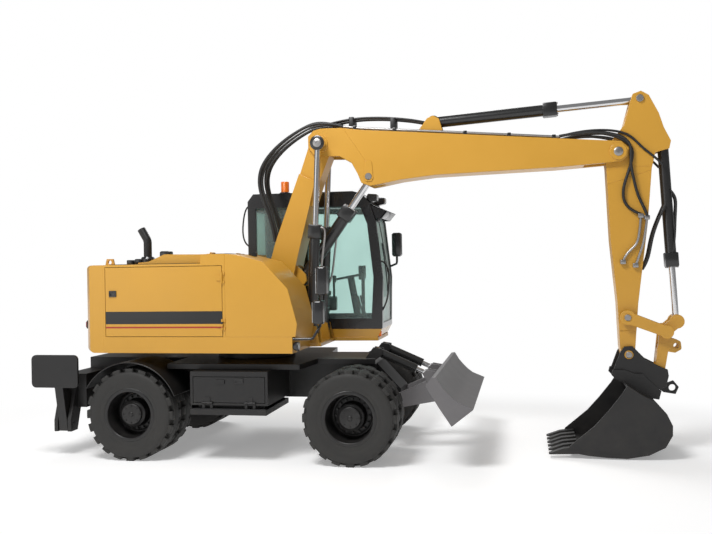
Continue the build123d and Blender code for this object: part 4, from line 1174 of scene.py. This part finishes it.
class EXC_OT_fittings(bpy.types.Operator):
    """Adds lamps, mirrors, latches, wiper, visor, rails, treads and other small fittings"""

    bl_idname = "excavator.fittings"
    bl_label = "Fittings"

    # Turned profiles of (radius, along)
    head_glass = ((0.0, 0.012), (0.03, 0.009), (0.044, 0.0), (0.044, -0.006), (0.0, -0.006))
    head_lamp = (
        (0.0, -0.065), (0.03, -0.065), (0.046, -0.04), (0.052, -0.01),
        (0.052, 0.002), (0.044, 0.004), (0.0, 0.004),
    )
    beacon_foot = ((0.0, 0.0), (0.073, 0.0), (0.073, 0.02), (0.066, 0.028), (0.056, 0.03), (0.0, 0.03))
    filler_cap = ((0.0, 0.05), (0.042, 0.05), (0.05, 0.042), (0.05, 0.0), (0.0, 0.0))
    silencer_end = ((0.0, 0.0), (0.075, 0.0), (0.085, 0.012), (0.085, 0.06), (0.07, 0.085), (0.0, 0.09))
    # Blocks of a piece: lowest and highest corner, and rounding
    blocks = {
        "wiper": (((1.41, 0.56, 2.69), (1.452, 0.68, 2.75), 0.01),),
        "cab_controls": (
            ((1.19, 0.5, 1.96), (1.25, 0.72, 2.14), 0.012),
            ((1.21, 0.58, 1.28), (1.25, 0.63, 2.0), 0.01),
            ((1.21, 0.52, 1.285), (1.40, 1.08, 1.37), 0.02),
        ),
        # Black liner blocks inside the back of the cab, its far side wall and its roof: painted shade,
        # standing for the dark inside seen through the glass
        "cab_painted_shade": (
            ((-0.165, 0.47, 1.285), (0.06, 1.13, 2.16), 0.03),
            ((-0.15, 1.125, 1.55), (0.29, 1.142, 2.96), 0.006),
            ((-0.15, 0.47, 2.93), (0.36, 1.13, 2.985), 0.02),
        ),
        "exhaust_fittings": (
            ((-1.44, -0.56, 2.188), (-1.36, -0.44, 2.25), 0.01),
            ((-1.39, -0.53, 2.2), (-1.27, -0.51, 2.235), 0.006),
            ((-1.33, -0.58, 2.2), (-1.24, -0.42, 2.262), 0.015),
        ),
    }
    # Bars of a piece: radius, order of the curve, and its run
    bars = {
        "wiper": (
            (0.006, 4, ((1.44, 0.62, 2.72), (1.475, 0.66, 2.5), (1.505, 0.74, 2.25), (1.517, 0.8, 2.05))),
            (0.008, 4, ((1.467, 0.7, 2.42), (1.491, 0.75, 2.2), (1.513, 0.79, 2.0), (1.512, 0.82, 1.8))),
        ),
        "cab_controls": tuple(
            (0.012, 4, ((1.24, y, 1.36), (1.21, y, 1.5), (1.15, y, 1.66), (1.14, y, 1.75)))
            for y in (0.72, 0.88)
        ),
        "grab_rails": tuple(
            (radius, order, tuple((x, y, z) for x, z in run))
            for radius, order, y, run in (
                (0.011, 4, 0.44, ((1.48, 2.19), (1.6, 2.19), (1.596, 1.78), (1.545, 1.64), (1.49, 1.56))),
                (0.01, 3, 0.462, ((-0.205, 2.4), (-0.335, 2.44), (-0.285, 2.94), (-0.205, 2.93))),
            )
        ),
        "exhaust_fittings": (
            (0.012, 3, ((-1.12, -0.5, 2.24), (-1.06, -0.5, 2.262), (-1.04, -0.5, 2.27))),
        ),
        "mirrors": (
            (
                0.015,
                2,
                ((0.77, -1.173, 1.355), (1.0, -1.173, 1.358), (1.075, -1.105, 1.5), (1.098, -1.105, 2.1)),
            ),
            (0.015, 2, ((1.49, 1.17, 2.12), (1.59, 1.162, 2.16), (1.59, 1.162, 2.56))),
        ),
    }
    # Outlines of (x, z) of the visor
    brow = ((1.366, 2.912), (1.585, 2.815), (1.505, 2.722), (1.49, 2.73), (1.556, 2.812), (1.372, 2.894))
    cheek = ((1.366, 2.912), (1.585, 2.815), (1.505, 2.722), (1.432, 2.722))
    # Anti-slip covers of the upper body: places along, places across and height
    covers = (
        (-0.19, 0.015, -1.06, -0.46, 2.292),
        (-1.38, -1.06, -0.38, 1.05, 2.19),
        (-1.36, -1.06, -1.15, -0.62, 2.19),
        (-0.99, -0.30, 1.1, 1.17, 2.19),
        (-0.99, -0.30, -1.17, -1.1, 2.19),
    )
    # Tail lamps: radius of the tail, turn from its middle, and height
    tail_radius, tail_turn, tail_height = 1.985, 0.43, 1.5
    # Latches: name, side, lowest and highest (x, z), body and material
    latch_rows = (
        ("door_latch_right", -1, (-1.345, 1.83), (-1.255, 1.9), "service_door_right", "cab_black"),
        ("door_latch_left", 1, (-1.345, 1.83), (-1.255, 1.9), "service_door_left", "cab_black"),
        ("box_latch_right", -1, (0.12, 0.87), (0.22, 0.93), "toolbox_lid", "machine_steel"),
        ("box_latch_left", 1, (0.12, 0.87), (0.22, 0.93), "undercarriage", "machine_steel"),
    )
    # Mirrors: place, and lowest and highest place of the head
    mirror_heads = (
        (1.098, -1.105, 1.826, 2.138),
        (1.055, -1.105, 1.51, 1.77),
        (1.59, 1.162, 2.25, 2.57),
    )

    def execute(self, context):
        self.lamps()
        self.mirrors()
        self.latches()
        self.cab()
        self.treads()
        self.tail()
        return {"FINISHED"}

    def lamps(self):
        made = []
        for y in (0.492, 1.11):
            low, high = spot(1.447, y - 0.056, 2.962), spot(1.459, y + 0.056, 3.018)
            made.append(cuboid("lamp_glass", low, high, 0.004))
        head_place = spot(0.84, -1.153, 1.275)
        glass = lathe("head_lamp_glass", self.head_glass, head_place, 40, (1, 0, 0), (0, 0, 1))
        made.append(smooth(glass, 40))
        housing = lathe("head_lamp", self.head_lamp, head_place, 40, (1, 0, 0), (0, 0, 1))
        finish_piece(smooth(housing, 40), "upper", "cab_black")
        finish_piece(joined("lamp_lenses", made), "upper", "lamp_lens")
        marker = cuboid("side_marker", spot(1.452, 0.405, 1.252), spot(1.49, 0.455, 1.318), 0.01)
        finish_piece(marker, "upper", "beacon_amber")
        low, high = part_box("beacon")
        under = Vector(((low.x + high.x) / 2, (low.y + high.y) / 2, low.z))
        foot = upright("beacon_foot", self.beacon_foot, under)
        finish_piece(smooth(foot, 40), "upper", "cab_black")

    def gathered(self, name, more=()):
        """A piece of the upper body from its blocks, its bars and what else is given."""
        made = []
        for low, high, rounding in self.blocks.get(name, ()):
            made.append(cuboid(name, spot(*low), spot(*high), rounding))
        for radius, order, run in self.bars.get(name, ()):
            made.append(tube(name, [spot(*p) for p in run], radius, 3, order))
        finish_piece(joined(name, [*made, *more]), "upper", "cab_black")

    def mirrors(self):
        heads, glasses = [], []
        for x, y, z0, z1 in self.mirror_heads:
            low, high = spot(x - 0.055, y - 0.085, z0), spot(x + 0.065, y + 0.085, z1)
            heads.append(cuboid("head", low, high, 0.032, 4))
            low = spot(x - 0.057, y - 0.066, z0 + 0.02)
            glasses.append(cuboid("glass", low, spot(x - 0.05, y + 0.066, z1 - 0.02), 0.003))
        finish_piece(joined("mirror_glasses", glasses), "upper", "mirror_glass")
        self.gathered("mirrors", heads)

    def latches(self):
        for name, sign, (x0, z0), (x1, z1), body, material in self.latch_rows:
            y0, y1 = sorted((sign * 1.193, sign * 1.207))
            obj = cuboid(name, spot(x0, y0, z0), spot(x1, y1, z1), 0.006)
            pick_faces(obj, lambda c, n: n.y * sign > 0.9)
            bpy.ops.mesh.inset(thickness=0.012)
            bpy.ops.transform.translate(value=(0, -sign * 0.008, 0))
            close()
            finish_piece(obj, body, material)

    def cab(self):
        # The cab's painted shade is a set of black liner blocks inside its back, far wall and roof
        for name in ("wiper", "cab_controls", "cab_painted_shade", "grab_rails"):
            self.gathered(name)
        visor = [plate("brow", self.brow, 0.442, 1.16, 0.003)]
        for y in (0.442, 1.14):
            visor.append(plate("cheek", self.cheek, y, y + 0.02, 0.003))
        finish_piece(joined("visor", visor), "upper", "cab_black")

    def treads(self):
        made = []
        for x0, x1, y0, y1, z in self.covers:
            made.append(cuboid("tread", spot(x0, y0, z - 0.002), spot(x1, y1, z + 0.006), 0.003))
        finish_piece(joined("tread_plates", made), "upper", "anti_slip")
        steps = []
        for sign in (-1, 1):
            y0, y1 = sorted((sign * 1.198, sign * 1.227))
            steps.append(cuboid("step_pad", spot(-0.37, y0, 0.588), spot(0.47, y1, 0.596), 0.002))
        finish_piece(joined("step_pads", steps), "undercarriage", "anti_slip")

    def tail(self):
        frames, lenses = [], []
        for sign in (-1, 1):
            turn = sign * self.tail_turn
            at = spot(-self.tail_radius * cos(turn), self.tail_radius * sin(turn), self.tail_height)
            for made, name, depth, half, tall in (
                (frames, "frame", 0.014, 0.09, 0.045),
                (lenses, "lens", 0.022, 0.076, 0.032),
            ):
                obj = cuboid(name, (-depth, -half, -tall), (0.01, half, tall), 0.006)
                obj.matrix_world = Matrix.Translation(at) @ Matrix.Rotation(-turn, 4, "Z")
                made.append(settle(obj))
        finish_piece(joined("tail_lamp_frames", frames), "upper", "cab_black")
        finish_piece(joined("tail_lamps", lenses), "upper", "tail_lens")
        cap = upright("filler_cap", self.filler_cap, spot(0.2, -0.72, 2.262), 32)
        finish_piece(smooth(cap, 40), "upper", "cab_black")
        silencer = upright("silencer_end", self.silencer_end, spot(-1.19, -0.5, 2.2))
        self.gathered("exhaust_fittings", [silencer])
        box = cuboid("hood_cap", spot(-0.93, -0.76, 2.225), spot(-0.80, -0.64, 2.345), 0.02)
        finish_piece(box, "engine_hood", "cab_black")


class EXC_OT_stage(bpy.types.Operator):
    """Sets the floor, the light and the camera"""

    bl_idname = "excavator.stage"
    bl_label = "Stage"

    # Area lights: name, place, aim, size and power
    area_lights = (
        ("Key", (-2.0, -5.5, 9.0), (-0.6, 0, 1.4), 3.0, 700),
        ("Fill", (-7.0, -8.0, 3.5), (0, 0, 1.4), 5.0, 85),
        ("Back", (-2.0, 8.0, 8.0), (0, 0, 1.5), 6.0, 420),
    )
    # Floor: radius, and where its look fades into plain white
    floor_radius = 60
    fade_from, fade_to = 2.0, 4.6

    def execute(self, context):
        scene = context.scene
        made = scene.exc_stage
        self.floor()
        self.world(scene)
        self.lights(scene)
        self.camera(scene, made)
        scene.view_settings.view_transform = "Standard"
        scene.view_settings.look = "None"
        scene.view_settings.exposure = 0.0
        return {"FINISHED"}

    def floor(self):
        bpy.ops.mesh.primitive_circle_add(vertices=96, radius=self.floor_radius, fill_type="NGON")
        obj = named("floor")
        bpy.ops.object.mode_set(mode="EDIT")
        take_all()
        bpy.ops.mesh.inset(thickness=self.floor_radius / 2)
        close()
        material, tree, surface, output = blank("Studio floor")
        preset(surface, {"Base Color": (0.9, 0.9, 0.9, 1), "Roughness": 0.7})
        preset(surface, {"Emission Color": (1, 1, 1, 1), "Emission Strength": 0.27})
        glow = add_node(tree, "Emission", {"Color": (1, 1, 1, 1)})
        place = add_node(tree, "TexCoord")
        far = add_node(tree, "VectorMath", operation="LENGTH")
        drawn = add_node(tree, "VectorMath", {1: (0.62, 1.0, 0.0)}, operation="MULTIPLY")
        link(place, "Object", drawn, 0)
        link(drawn, "Vector", far, 0)
        fade = add_node(tree, "MapRange", {"From Min": self.fade_from, "From Max": self.fade_to})
        fade.interpolation_type = "SMOOTHSTEP"
        link(far, "Value", fade, "Value")
        mix = add_node(tree, "MixShader")
        link(fade, "Result", mix, "Fac")
        link(surface, "BSDF", mix, 1)
        link(glow, "Emission", mix, 2)
        link(mix, "Shader", output, "Surface")
        obj.data.materials.append(material)

    def world(self, scene):
        world = bpy.data.worlds.new("Studio")
        scene.world = world
        world.use_nodes = True
        tree = world.node_tree
        back = tree.nodes["Background"]
        back.inputs["Color"].default_value = (1, 1, 1, 1)
        path = add_node(tree, "LightPath")
        # The backdrop is white to the camera, and lights the machine at a quarter of that
        level = add_node(tree, "MapRange", {"To Min": 0.25, "To Max": 1.0})
        link(path, "Is Camera Ray", level, "Value")
        link(level, "Result", back, "Strength")

    def lights(self, scene):
        for name, place, aim, size, power in self.area_lights:
            data = bpy.data.lights.new(name, "AREA")
            data.energy = power
            data.size = size
            obj = bpy.data.objects.new(name, data)
            scene.collection.objects.link(obj)
            obj.location = place
            obj.rotation_mode = "QUATERNION"
            obj.rotation_quaternion = (Vector(aim) - Vector(place)).to_track_quat("-Z", "Y")

    def camera(self, scene, made):
        data = bpy.data.cameras.new("Camera")
        data.lens = made.lens
        data.sensor_width = 36
        obj = bpy.data.objects.new("Camera", data)
        scene.collection.objects.link(obj)
        ahead = Vector((-sin(made.yaw) * cos(made.pitch), cos(made.yaw) * cos(made.pitch), sin(made.pitch)))
        right = Vector((cos(made.yaw), sin(made.yaw), 0))
        up = right.cross(ahead)
        tilted_right = right * cos(made.roll) + up * sin(made.roll)
        tilted_up = up * cos(made.roll) - right * sin(made.roll)
        turn = Matrix((tilted_right, tilted_up, -ahead)).transposed().to_4x4()
        obj.matrix_world = Matrix.Translation(made.camera) @ turn
        scene.camera = obj


class EXC_PT_panel(bpy.types.Panel):
    """Settings and pieces of the excavator"""

    bl_idname = "EXC_PT_panel"
    bl_label = "Excavator"
    bl_space_type = "VIEW_3D"
    bl_region_type = "UI"
    bl_category = "Excavator"

    def draw(self, context):
        for group in (context.scene.exc_paint, context.scene.exc_tyres, context.scene.exc_stage):
            for name in group.__annotations__:
                self.layout.prop(group, name)
        for operator in PIECES:
            self.layout.operator(operator.bl_idname)


SETTINGS = {"exc_paint": PaintSettings, "exc_tyres": TyreSettings, "exc_stage": StageSettings}
PIECES = (
    EXC_OT_finish,
    EXC_OT_tyres,
    EXC_OT_rims,
    EXC_OT_seat,
    EXC_OT_hoses,
    EXC_OT_rams,
    EXC_OT_pins,
    EXC_OT_fittings,
    EXC_OT_stage,
)


def register():
    for name, kind in SETTINGS.items():
        bpy.utils.register_class(kind)
        setattr(bpy.types.Scene, name, PointerProperty(type=kind))
    for kind in (*PIECES, EXC_PT_panel):
        bpy.utils.register_class(kind)


def unregister():
    for kind in reversed((*PIECES, EXC_PT_panel)):
        bpy.utils.unregister_class(kind)
    for name, kind in reversed(SETTINGS.items()):
        delattr(bpy.types.Scene, name)
        bpy.utils.unregister_class(kind)


def main():
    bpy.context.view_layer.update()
    register()
    bpy.ops.excavator.finish()
    bpy.ops.excavator.tyres()
    bpy.ops.excavator.rims()
    bpy.ops.excavator.seat()
    bpy.ops.excavator.hoses()
    bpy.ops.excavator.rams()
    bpy.ops.excavator.pins()
    bpy.ops.excavator.fittings()
    bpy.ops.excavator.stage()


if __name__ == "__main__":
    main()
